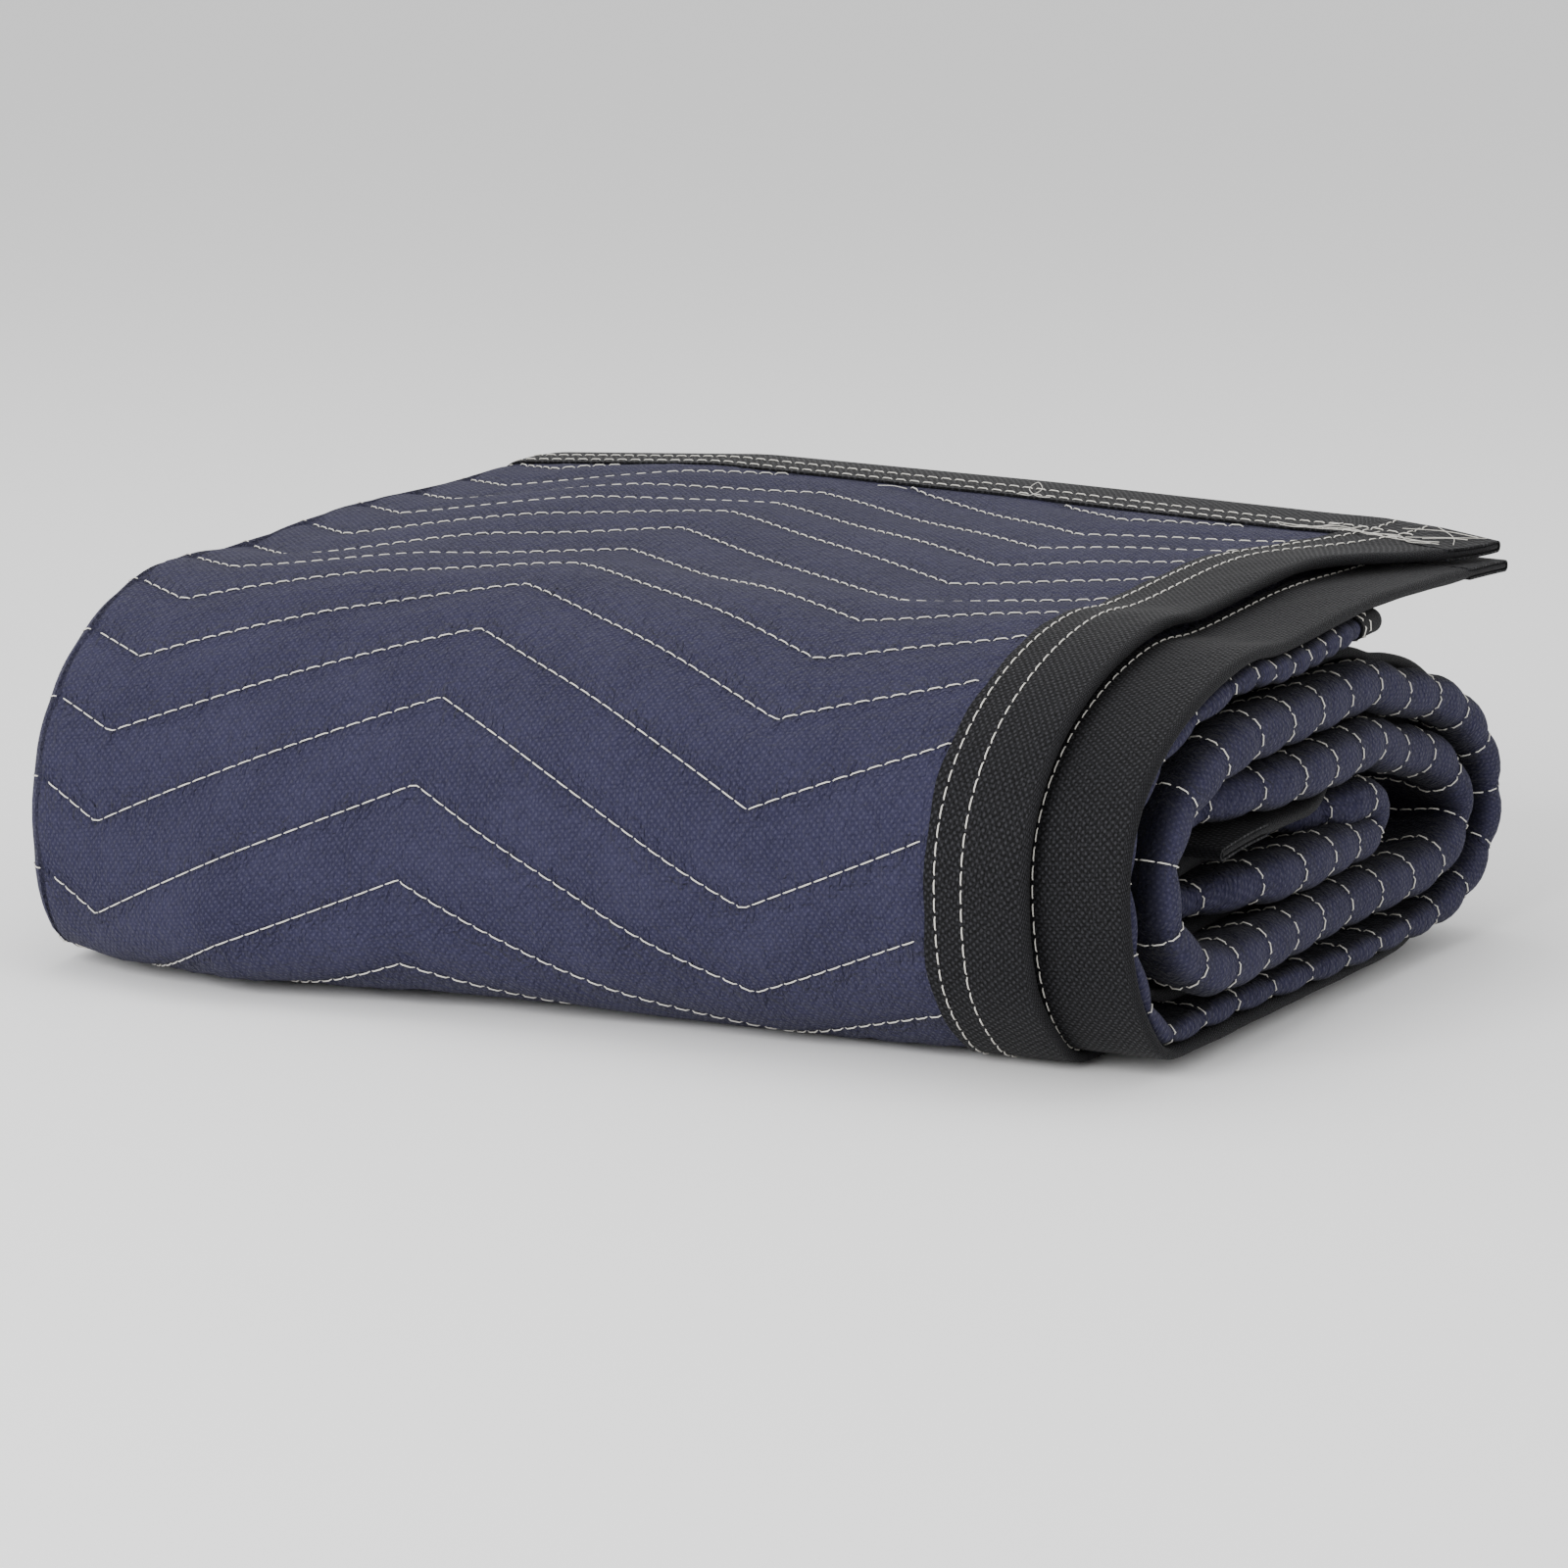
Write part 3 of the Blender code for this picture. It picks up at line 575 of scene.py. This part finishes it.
def closedSheet(outside, inside):
    # two faces of a sheet and the rim between them
    rows, columns = outside.shape[:2]
    verts = np.concatenate([outside.reshape(-1, 3), inside.reshape(-1, 3)])
    count = rows * columns
    grid = np.arange(count).reshape(rows, columns)
    loop = np.concatenate([grid[0, :-1], grid[:-1, -1], grid[-1, :0:-1], grid[:0:-1, 0]])
    rim = np.stack([loop, np.roll(loop, -1), np.roll(loop, -1) + count, loop + count], 1)
    sides = gridFaces(rows, columns), gridFaces(rows, columns, count, True)
    return verts, np.concatenate([*sides, rim[:, ::-1]])


detail = {
    "column": quilting["legWidth"] / 15, "leftAngles": 7, "rightAngles": 11, "nestAngles": 4,
    "hiddenColumns": (-0.255, footColumn, -quilting["legWidth"], plainColumn, 0.0, 0.060, 0.090),
    "rightColumns": (0.118, 0.125, 0.132), "underColumns": (0.122, 0.132), "leastColumn": 0.004,
    "endSteps": (0.0, 0.012, 0.026), "coreStep": 0.02, "firstGap": 0.003, "leastGap": 0.0012,
    "endLines": 6,  # lines at each end that the evened lines leave where they are
    # lines between two rows, on the outer turn and inside it
    "fineSteps": (0, 0.0015, 0.0045, 0.0095, 0.0169, 0.0243, 0.0293, 0.0323),
    "hiddenSteps": (0, 0.0056, 0.0113, 0.0169, 0.0225, 0.0282),
}


def foldStations(low, high, side, facing, start, count):
    angles = np.linspace(start, -start, count + 2)[1:-1]
    return [foldStation(low, high, side, facing, angle) for angle in angles]


def layStations():
    edge, under = cloth["outerEdge"], cloth["underEdge"]
    width, ease = binding["width"], binding["ramp"]
    outerXs = [edge, edge - width / 2, edge - width, edge - width - ease / 2, edge - width - ease]
    column, left = detail["column"], cloth["leftFold"]
    first = int((edge - width - ease) / column)
    last = int((left + detail["leastColumn"]) / column)
    outerXs += [k * column for k in range(first, last - 1, -1)] + [left]
    hidden = (left,) + detail["hiddenColumns"]
    fullRight = (wound["swellFrom"],) + detail["rightColumns"] + (cloth["rightFold"],)
    stations = [leafStation("outer", x) for x in outerXs]
    stations += foldStations("inner", "outer", -1, 1, 90, detail["leftAngles"])
    stations += [leafStation("inner", x) for x in hidden + fullRight]
    stations += foldStations("inner", "back", 1, 1, -90, detail["rightAngles"])
    stations += [leafStation("back", x) for x in (hidden + fullRight)[::-1]]
    stations += foldStations("back", "under", -1, -1, -90, detail["nestAngles"])
    underXs = (under - width - ease, under - width - ease / 2, under - width, wound["riseFrom"])
    underXs += detail["underColumns"] + (under,)
    stations += [leafStation("under", x) for x in hidden[:-2] + underXs]
    return stations


def outerOf(s):
    # length along the outer face, where the rows lie evenly, at length s of the path
    return np.interp(s, pathAt, outerAt)


def pathOf(outer):
    return np.interp(outer, outerAt, pathAt)


def followShare(s):
    # rows follow the zigzag on the outer turn; the hidden runs inside it run straight
    return ramp(s, *quilting["followFrom"]) * (1 - ramp(s, *quilting["followUntil"]))


def layRows():
    # lines along the strip, close together at each row of stitches
    width, ease = binding["width"], binding["ramp"]
    margin, gap = cloth["endMargin"], detail["leastGap"]
    steps = detail["endSteps"] + (width, width + ease / 2, width + ease)
    lines = [margin + step for step in steps]
    start = outerOf(lines[-1] + detail["firstGap"])
    last = pathLength - margin - width - ease
    row = math.ceil((start - quilting["firstRow"]) / quilting["rowPitch"]) - 1
    while True:
        base = quilting["firstRow"] + row * quilting["rowPitch"]
        fine = pathOf(base) < quilting["followUntil"][1]
        for shift in detail["fineSteps" if fine else "hiddenSteps"]:
            s = float(pathOf(base + shift))
            if lines[-1] + gap < s < last - gap:
                lines.append(s)
        row += 1
        if pathOf(base) > last:
            break
    lines += [last, last + ease / 2, last + ease, pathLength - margin - detail["coreStep"],
              pathLength - margin]
    return np.array(lines)


stations = layStations()
rows = layRows()
rowCount, kept = len(rows), detail["endLines"]
evenRows = rows.copy()  # for the fold whose rows lie closer
evenShare = np.linspace(0, 1, rowCount - 2 * kept)
evenRows[kept:-kept] = rows[kept] + (rows[-kept - 1] - rows[kept]) * evenShare
print("section", len(stations), "lines", rowCount)


def stationLine(station, s):
    if station["leaf"] in ("inner", "back") or station["side"] == 1:
        return evenRows
    if station["leaf"] != "outer":
        return s
    shift = followShare(s) * zigzag(np.minimum(station["x"], quilting["turnFrom"]))
    return np.clip(pathOf(outerOf(s) + shift), cloth["endMargin"], None)


def rowPhase(s, x, leaf):
    # in rows: whole numbers lie on a row of stitches
    if leaf != "outer":
        return s / quilting["foldRow"] + waves(wander["foldRows"], s)
    shift = zigzag(np.minimum(x, quilting["turnFrom"])) * (1 - ramp(s, *quilting["followUntil"]))
    return (outerOf(s) - shift - quilting["firstRow"]) / quilting["rowPitch"]


def crest(s, x, leaf):
    # 0 in the groove under a row, 1 on the channel between rows
    phase = rowPhase(s, x, leaf)
    off = np.abs(phase - np.round(phase)) * quilting["rowPitch"]
    return 1 - np.exp(-(off / quilting["valleyWidth"]) ** 1.5)


def boundShareAt(station, s):
    # 1 under a binding, falling to 0 beside it
    inset = np.minimum(s, pathLength - s) - cloth["endMargin"]
    if station["leaf"] in ("outer", "under"):
        inset = np.minimum(inset, cloth[station["leaf"] + "Edge"] - station["x"])
    return 1 - ramp(inset, binding["width"], binding["width"] + binding["ramp"])


# slow unevenness of the outer cloth, which is smooth near the binding
wrinkles = {"crease": 0.0008, "creaseLengths": (0.021, 0.060, 0.033, 0.050), "bend": 2.1,
            "wave": 0.0010, "waveLengths": (0.047, 0.071), "fadeOver": (-0.06, 0.0)}


def wrinkle(x, s):
    # short creases that bend, on longer slanting waves
    across, turn, along, slant = wrinkles["creaseLengths"]
    crease = np.sin(x / across + wrinkles["bend"] * np.sin(s / turn)) * np.sin(s / along + x / slant)
    across, along = wrinkles["waveLengths"]
    return wrinkles["crease"] * crease + wrinkles["wave"] * np.sin(x / across - s / along + 1.0)


def thickAt(station, s):
    bound = boundShareAt(station, s)
    deep = 1 - quilting["valleyShare"] if station["leaf"] == "outer" else quilting["foldGroove"]
    quilted = 1 - deep * (1 - crest(s, station["x"], station["leaf"]))
    share = quilted * (1 - bound) + quilting["boundShare"] * bound
    return cloth["thick"] * share * tightAt(s) ** 3


def surfaceLift(station, s):
    # lift of the cloth's middle: the channels between rows puff outwards
    if station["leaf"] != "outer" and station["side"] != 1:
        return np.zeros(np.shape(s))
    free = 1 - boundShareAt(station, s)
    lift = quilting["puff"] * (crest(s, station["x"], station["leaf"]) - 0.5) * free
    if station["leaf"] == "outer":
        fade = ramp(-station["x"], *wrinkles["fadeOver"])
        lift = lift + wrinkle(station["x"], s) * free * (1 - insideShare(s)) * fade
    else:
        lift = lift + quilting["foldPuff"] * (crest(s, station["x"], None) - 0.5) * free
    return lift


# how strongly each part of the section is darkened with painted shade between the layers
paintedShadeDepths = {"under": 0.5, "inner": 0.95, "fold": (0.45, 1.0)}


def paintedShadeShare(station):
    # share of painted shade: 0 on the open faces and the tops of the folds, near 1 deep between two
    # layers
    if station["leaf"]:
        return {"outer": 0.0, "under": paintedShadeDepths["under"]}.get(station["leaf"], paintedShadeDepths["inner"])
    if station["side"] < 0:
        return 0.0
    return paintedShadeDepths["inner"] * float(ramp(abs(math.sin(station["angle"])), *paintedShadeDepths["fold"]))


def onBothFaces(lines):
    # a value for each point of a closed sheet: both faces share the pattern
    values = np.stack(lines, 1).reshape(-1, 2)
    return np.concatenate([values, values])


def makeCloth():
    outside, inside, flat, phase, paintedShade = [], [], [], [], []
    for station in stations:
        s = stationLine(station, rows)
        lift, half = surfaceLift(station, s), thickAt(station, s) / 2
        outside.append(place(station, s, lift + half))
        inside.append(place(station, s, lift - half))
        middle = place(station, evenRows)  # the pattern keeps its size round the folds
        if station["leaf"] == "outer":
            across = np.full(rowCount, cloth["outerEdge"] - station["x"])
        else:
            across = across + np.linalg.norm(middle - before, axis=1)
        before = middle
        flat.append(np.stack([across, s], 1))
        inRows = rowPhase(s, station["x"], station["leaf"])
        phase.append(np.stack([across / quilting["rowPitch"], inRows], 1))
        # the open uv holds each line's share of painted shade
        paintedShade.append(np.stack([np.full(rowCount, paintedShadeShare(station)), s], 1))
    verts, faces = closedSheet(np.stack(outside, 1), np.stack(inside, 1))
    uvs = {"flat": onBothFaces(flat) * 10, "rows": onBothFaces(phase), "open": onBothFaces(paintedShade)}
    piece = newPiece("quilted_blanket", verts, faces, navyCloth, uvs)
    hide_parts("quilted_cloth")
    return piece


blanket = makeCloth()
print("cloth triangles", sum(face.loop_total - 2 for face in blanket.data.polygons))


def tapeLift(station, s):
    share = quilting["boundShare"] * tightAt(s) ** 3
    return cloth["thick"] * share / 2 + binding["gap"] + binding["wall"] / 2


def tapePiece(name, grid, flat, node):
    points = np.stack(grid, 1)
    along = np.gradient(points, axis=0)
    across = np.gradient(points, axis=1)
    normal = np.cross(across, along)
    normal /= np.linalg.norm(normal, axis=2)[..., None]
    half = normal * binding["wall"] / 2
    verts, faces = closedSheet(points + half, points - half)
    piece = newPiece(name, verts, faces, blackTape, {"flat": onBothFaces(flat) * 10})
    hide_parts(node)
    return piece


tapeWaves = {
    "endInset": 0.001, "covered": 0.0007, "coverEase": (0.002, 0.003),
    "lip": ((0.0005, 0.011, 0.0), (0.0004, 0.0043, 1.3)), "lipWidth": 0.004,
    "ripple": (0.00018, 0.0065, 0.029, 300),  # height, two lengths, slant
    "faceStep": 0.0047, "endStep": 0.008, "depthStep": 0.0055,  # the cloth pattern's own steps
}


def tapeProfile(lip, rim, outwards, steps):
    # across the tape: a face, the rounded rim and the other face, each point with its side
    face, reach = list(np.linspace(lip, rim, steps)), outwards * binding["rimReach"]
    angles = [math.radians(angle) for angle in binding["rimAngles"]]
    return ([(at, 1.0) for at in face] + [(rim + reach * math.sin(a), math.cos(a)) for a in angles]
            + [(at, -1.0) for at in face[::-1]])


def makeSideTape(name, leaf, edge, node):
    # tape folded over a bound edge: lip, face, rounded rim, face, lip
    width, rim = binding["width"], edge - binding["rimInset"]
    inset = cloth["endMargin"] + tapeWaves["endInset"]
    s = np.linspace(inset, pathLength - inset, binding["lengthSteps"])
    fromEnd = np.minimum(s, pathLength - s)  # the end tapes are sewn over its ends
    before, after = tapeWaves["coverEase"]
    covered = tapeWaves["covered"] * (1 - ramp(fromEnd, width - before, width + after))
    height, short, long, slant = tapeWaves["ripple"]
    lip = edge - width + binding["gap"]
    wave = waves(tapeWaves["lip"], s)
    grid, flat, across = [], [], 0.0
    for k, (x, side) in enumerate(tapeProfile(lip, rim, 1, binding["faceSteps"])):
        station = leafStation(leaf, x + wave * (x < lip + tapeWaves["lipWidth"]))
        ripple = height * np.sin(s / short + x * slant) * np.sin(s / long)
        grid.append(place(station, s, side * (tapeLift(station, s) + ripple - covered)))
        across += tapeWaves["faceStep"] if k else 0.0
        flat.append(np.stack([np.full(len(s), across), s], 1))
    return tapePiece(name, grid, flat, node)


def makeEndTape(name, atTail, node):
    # tape folded over an end of the cloth, which it follows through all the folds
    width, gap, wall = binding["width"], binding["gap"], binding["wall"]
    end = cloth["endMargin"] if atTail else pathLength - cloth["endMargin"]
    inward = 1 if atTail else -1
    profile = tapeProfile(width - gap, binding["rimInset"], -1, binding["endSteps"])
    line = list(stations)
    line[0] = leafStation("outer", cloth["outerEdge"] + gap + wall)
    line[-1] = leafStation("under", cloth["underEdge"] + gap + wall)
    grid, flat, across = [], [], 0.0
    for station in line:
        points, values = [], []
        for k, (depth, side) in enumerate(profile):
            s = np.full(1, end + inward * depth)
            points.append(place(station, s, side * tapeLift(station, s))[0])
            values.append((across, tapeWaves["depthStep"] * k))
        grid.append(np.array(points))
        flat.append(np.array(values))
        across += tapeWaves["endStep"]
    return tapePiece(name, grid, flat, node)


tapes = [makeSideTape("side_tape_outer", "outer", cloth["outerEdge"], "side_binding_outer"),
         makeSideTape("side_tape_under", "under", cloth["underEdge"], "side_binding_under"),
         makeEndTape("end_tape_tail", True, "end_binding_tail"),
         makeEndTape("end_tape_core", False, "end_binding_core")]
print("tapes made")

# each stitch is a short thread that rises from the cloth and dips back into it

threads = {
    "radius": 0.00027, "sides": 6, "rise": 0.00030, "dip": 0.00045, "loose": 0.00016,
    "shares": (0.0, 0.22, 0.78, 1.0), "taper": (0.75, 1.0, 1.0, 0.75),
    "proud": 0.00035, "proudShare": 1.6,  # where the cloth bridges its grooves
    "probe": 0.001, "across": (0.31, 0.22, 0.93), "besideTape": (0.0002, 0.001),
    "tapeMargin": 0.004, "tapeStep": 0.003, "sway": (0.0005, 0.050), "foldStep": 0.0005,
    "rowsBetween": (0.046, 1.02), "rowsUntil": 0.98, "rowSteps": 420, "rowsBefore": 0.08,
    "foldMargin": 0.058, "foldFrom": 0.106, "fewest": 12,
}


def unit(vectors):
    return vectors / (np.linalg.norm(vectors, axis=-1, keepdims=True) + 1e-12)


def stitchesAlong(points, normals, start=0.0):
    # evenly spaced stitches on a line of surface points
    pitch, part = quilting["stitch"], quilting["stitchShare"]
    along = arcLengths(points)
    heads = np.arange(start * pitch, along[-1] - pitch * part, pitch)
    at = heads[:, None] + (np.array(threads["shares"]) * part * pitch)[None]
    normal = unit(valuesAt(at, along, normals))
    lift = np.array([-threads["dip"], threads["rise"], threads["rise"], -threads["dip"]])
    return valuesAt(at, along, points) + normal * lift[None, :, None], normal


def ringsRound(centres, normals, radius):
    # a ring of points round each point of a line
    along = unit(np.gradient(centres, axis=-2))
    side = unit(np.cross(along, normals))
    up = np.cross(side, along)
    angle = (np.arange(threads["sides"]) * 2 * math.pi / threads["sides"])[:, None]
    out = np.cos(angle) * side[..., None, :] + np.sin(angle) * up[..., None, :]
    return (centres[..., None, :] + np.asarray(radius)[..., None, None] * out).reshape(-1, 3)


def tubeFaces(base, count):
    # the faces round a tube of count rings, and its two ends
    sides, quads = threads["sides"], []
    last = base + (count - 1) * sides
    for a in range(base, last, sides):
        for i in range(sides):
            j = (i + 1) % sides
            quads.append([a + i, a + j, a + sides + j, a + sides + i])
    return quads, [list(range(base + sides - 1, base - 1, -1)), list(range(last, last + sides))]


def threadMesh(name, groups):
    centres, normals = (np.concatenate([group[n] for group in groups]) for n in (0, 1))
    verts = ringsRound(centres, normals, threads["radius"] * np.array(threads["taper"]))
    tubes = [tubeFaces(base, 4) for base in range(0, len(verts), 4 * threads["sides"])]
    faces = [face for part in (0, 1) for tube in tubes for face in tube[part]]
    piece = newPiece(name, verts, faces, thread)
    return piece


def routeOn(station, s, lift, side=1):
    # points of a line on the surface, with the direction that the surface faces there
    low = place(station, s, side * (lift - threads["probe"]))
    high = place(station, s, side * lift)
    return high, unit(high - low)


def quiltRows():
    groups = []
    pitch, start = quilting["rowPitch"], quilting["firstRow"]
    low, high = (outerOf(s) - start for s in threads["rowsBetween"])
    first, last = math.ceil((low - threads["rowsBefore"]) / pitch), int(high / pitch) + 2
    beside, past = threads["besideTape"]
    tapeLip = cloth["outerEdge"] - binding["width"] - beside
    xs = np.linspace(tapeLip, cloth["leftFold"], threads["rowSteps"])
    limit = outerOf(cloth["endMargin"] + binding["width"] + past)
    for row in range(first, last):
        outer = start + row * pitch + zigzag(np.minimum(xs, quilting["turnFrom"]))
        s = pathOf(outer)
        keep = (outer > limit) & (s < threads["rowsUntil"])
        changes = np.flatnonzero(np.diff(keep, prepend=False, append=False))
        for a, b in changes.reshape(-1, 2):
            if b - a < threads["fewest"]:
                continue
            station = leafStation("outer", xs[a:b])
            at = s[a:b]
            # near the tail the mesh's lines don't follow the rows
            lift = surfaceLift(station, at) + thickAt(station, at) / 2
            lift = lift + threads["proud"] * (threads["proudShare"] - followShare(at))
            groups.append(stitchesAlong(*routeOn(station, at, lift), start=(row * 0.37) % 1.0))
        # the row goes on round the fold at the left end
        if keep[-1]:
            angles = np.linspace(90, -90, 24)
            fold = foldStation("inner", "outer", -1, 1, angles)
            at = np.full(len(angles), s[-1])
            groups.append(stitchesAlong(*routeOn(fold, at, thickAt(fold, at) / 2), start=0.3))
    return groups


def foldRows():
    # short rows over the right fold, one in each groove of the gathered cloth
    groups = []
    margin = threads["foldMargin"]
    fine = np.arange(margin, pathLength - margin, threads["foldStep"])
    phase = rowPhase(fine, None, None)
    for k in range(int(phase[0]) + 1, int(phase[-1]) + 1):
        at = float(np.interp(k, phase, fine))
        backXs = np.linspace(threads["foldFrom"], cloth["rightFold"], 10)
        fold = foldStation("inner", "back", 1, 1, np.linspace(85, -85, 18))
        pieces = []
        for station in (leafStation("back", backXs), fold, leafStation("inner", backXs[::-1])):
            s = np.full(np.size(station.get("angle", backXs)), at)
            lift = surfaceLift(station, s) + thickAt(station, s) / 2 + threads["proud"]
            pieces.append(routeOn(station, s, lift))
        points, normals = (np.concatenate([p[n] for p in pieces]) for n in (0, 1))
        groups.append(stitchesAlong(points, normals, start=(k * 0.31) % 1.0))
    return groups


def tapeRows():
    # machine stitches along the tapes, not quite straight
    groups = []
    s = np.arange(threads["tapeMargin"], pathLength - threads["tapeMargin"], threads["tapeStep"])
    sway, length = threads["sway"]
    for leaf, edge, lines, side in (("outer", cloth["outerEdge"], binding["lines"], 1),
                                    ("under", cloth["underEdge"], binding["lines"][:1], -1)):
        for k, inset in enumerate(lines):
            x = edge - binding["width"] + inset + sway * np.sin(s / length + k)
            station = leafStation(leaf, x)
            lift = tapeLift(station, s) + binding["wall"] / 2
            groups.append(stitchesAlong(*routeOn(station, s, lift, side), start=0.4 * k))
    for inset in binding["lines"]:
        points, normals = [], []
        s = np.full(1, cloth["endMargin"] + binding["width"] - inset)
        for station in stations[1:-1]:
            point, normal = routeOn(station, s, tapeLift(station, s) + binding["wall"] / 2)
            points.append(point[0])
            normals.append(normal[0])
        groups.append(stitchesAlong(np.array(points), np.array(normals), start=0.2))
    return groups


def tubeMesh(name, strands):
    # loose threads: smooth round strands through a few points each
    verts, faces = [], []
    for strand in strands:
        strand = np.array(strand)
        before, after = 2 * strand[:1] - strand[1:2], 2 * strand[-1:] - strand[-2:-1]
        knots = np.concatenate([before, strand, after])
        path = []
        for a, b, c, d in zip(knots[:-3], knots[1:-2], knots[2:-1], knots[3:]):
            for f in np.linspace(0, 1, 6, endpoint=False):
                path.append(0.5 * (2 * b + (c - a) * f + (2 * a - 5 * b + 4 * c - d) * f * f
                                   + (3 * b - 3 * c + d - a) * f ** 3))
        path.append(knots[-2])
        quads, ends = tubeFaces(len(verts), len(path))
        faces += quads + ends
        verts += ringsRound(np.array(path), threads["across"], threads["loose"]).tolist()
    piece = newPiece(name, np.array(verts), faces, thread)
    return piece


# across, along and height above the cloth, in metres; the tail's corner is overstitched
looseEnds = {
    "cornerRuns": ((0.050, 0.0395), (0.060, 0.0425), (0.070, 0.0385), (0.080, 0.0415),
                   (0.088, 0.0380), (0.096, 0.0405), (0.104, 0.0370)),
    "cornerCross": (((0.090, 0.034), (0.098, 0.020), (0.107, 0.006)),
                    ((0.108, 0.033), (0.099, 0.019), (0.089, 0.007)),
                    ((0.084, 0.024), (0.094, 0.014), (0.106, 0.012)),
                    ((0.097, 0.036), (0.101, 0.026), (0.107, 0.022))),
    "passes": 3, "tufts": 3,
    "bits": ((-0.118, 0.0520), (-0.112, 0.0500), (-0.104, 0.0525)),
    "loop": (-0.050, 0.0400, 0.0042),  # where it stands on the tape, and its height
    "star": ((0.006, -0.010, 0.002), (0.004, 0.007, -0.006),
             (-0.003, 0.010, 0.004), (0.002, -0.004, -0.008)),
}


def looseThreads():
    def on(x, s, height=0.0006, leaf="outer"):
        station, side = leafStation(leaf, x), 1 if leaf == "outer" else -1
        at = np.full(1, s)
        return place(station, at, side * (tapeLift(station, at) + binding["wall"] / 2 + height))[0]

    strands = []
    for k in range(looseEnds["passes"]):  # of the machine along the tape's front edge
        strands.append([on(x + 0.0025 * math.sin(5 * k + i), s + 0.0016 * math.sin(3.1 * k + 1.9 * i),
                           0.0005 + 0.0006 * (1 + math.sin(2.3 * k + 1.7 * i)))
                        for i, (x, s) in enumerate(looseEnds["cornerRuns"])])
    for k, cross in enumerate(looseEnds["cornerCross"]):
        strands.append([on(x, s, 0.0006 + 0.0004 * k) for x, s in cross])
    for k in range(looseEnds["tufts"]):
        strands.append([on(0.062 + 0.009 * k, 0.040, 0.0006), on(0.065 + 0.009 * k, 0.0385, 0.0018),
                        on(0.069 + 0.008 * k, 0.0355 + 0.003 * k, 0.0026)])
    x, s, size = looseEnds["loop"]
    strands.append([on(x - 0.010, s - 0.001, 0.0004), on(x - 0.003, s, 0.0006),
                    on(x + 0.002, s - 0.001, size * 0.8), on(x - 0.001, s - 0.003, size * 1.3),
                    on(x - 0.004, s - 0.001, size * 0.7), on(x, s, 0.0006),
                    on(x + 0.007, s + 0.001, 0.0009)])
    strands.append([on(x, s, 0.0006) for x, s in looseEnds["bits"]])
    # the threads of the core's binding end in a small star
    knot = on(0.112, pathLength - 0.030, 0.0010, "under")
    for step in looseEnds["star"]:
        strands.append([knot, knot + np.array(step) * 0.5 + 0.0008, knot + np.array(step)])
    return tubeMesh("loose_threads", strands)


stitching = [threadMesh("quilting_stitches", quiltRows()), threadMesh("fold_stitches", foldRows()),
             threadMesh("tape_stitches", tapeRows()), looseThreads()]
for piece in stitching:
    print(piece.name, len(piece.data.polygons))

# stage: pale floor, soft light from the front left, camera of the photograph

stage = {
    "position": (0.94058, -1.70478, 0.42509), "lens": 118.434, "sensor": 36.0,
    "yaw": 0.5053336, "pitch": 0.1854505, "roll": 0.0085606,
    "worldStrength": 1.00, "floorHalf": 25, "floorHeight": -0.0004,
}
# name, place, what it points at, size, power
lights = (
    ("front_soft", (-0.2, -2.6, 1.3), (0, -0.1, 0.06), 1.6, 84),
    ("right_soft", (2.4, -0.6, 1.2), (0.1, 0, 0.06), 1.4, 5),
    ("top_soft", (-0.3, 0.5, 2.4), (0, 0, 0.1), 1.8, 22),
)


def makeCamera():
    yaw, pitch, roll = stage["yaw"], stage["pitch"], stage["roll"]
    level = math.cos(pitch)
    ahead = Vector((-math.sin(yaw) * level, math.cos(yaw) * level, -math.sin(pitch)))
    right = Vector((math.cos(yaw), math.sin(yaw), 0))
    up = right.cross(ahead)
    c, s = math.cos(roll), math.sin(roll)
    right, up = c * right + s * up, -s * right + c * up
    data = bpy.data.cameras.new("camera")
    data.sensor_width = stage["sensor"]
    data.lens = stage["lens"]
    camera = addObject("camera", data)
    axes = zip(zip(right, up, -ahead), stage["position"])
    camera.matrix_world = Matrix([[*axis, at] for axis, at in axes] + [[0, 0, 0, 1]])
    bpy.context.scene.camera = camera


def addLight(name, at, aim, size, power):
    data = bpy.data.lights.new(name, "AREA")
    data.size = size
    data.energy = power
    lamp = addObject(name, data)
    lamp.location = at
    lamp.rotation_euler = (Vector(aim) - Vector(at)).to_track_quat("-Z", "Y").to_euler()


makeCamera()
for light in lights:
    addLight(*light)

world = bpy.data.worlds.new("studio")
world.use_nodes = True
sky = world.node_tree.nodes["Background"].inputs
sky[0].default_value, sky[1].default_value = (1, 1, 1, 1), stage["worldStrength"]
bpy.context.scene.world = world

# matt painted board, even and almost without shine
floorPaint, tree, shader = newMaterial("matt_painted_floor")
setShader(tree, shader, {}, {"Base Color": srgb(looks["floor"]), "Roughness": 0.9})
mesh = bpy.data.meshes.new("floor")
half, under = stage["floorHalf"], stage["floorHeight"]
corners = [(x * half, y * half, under) for x, y in ((-1, -1), (1, -1), (1, 1), (-1, 1))]
mesh.from_pydata(corners, [], [(0, 1, 2, 3)])
mesh.materials.append(floorPaint)
floor = addObject("floor", mesh)
print("stage set")
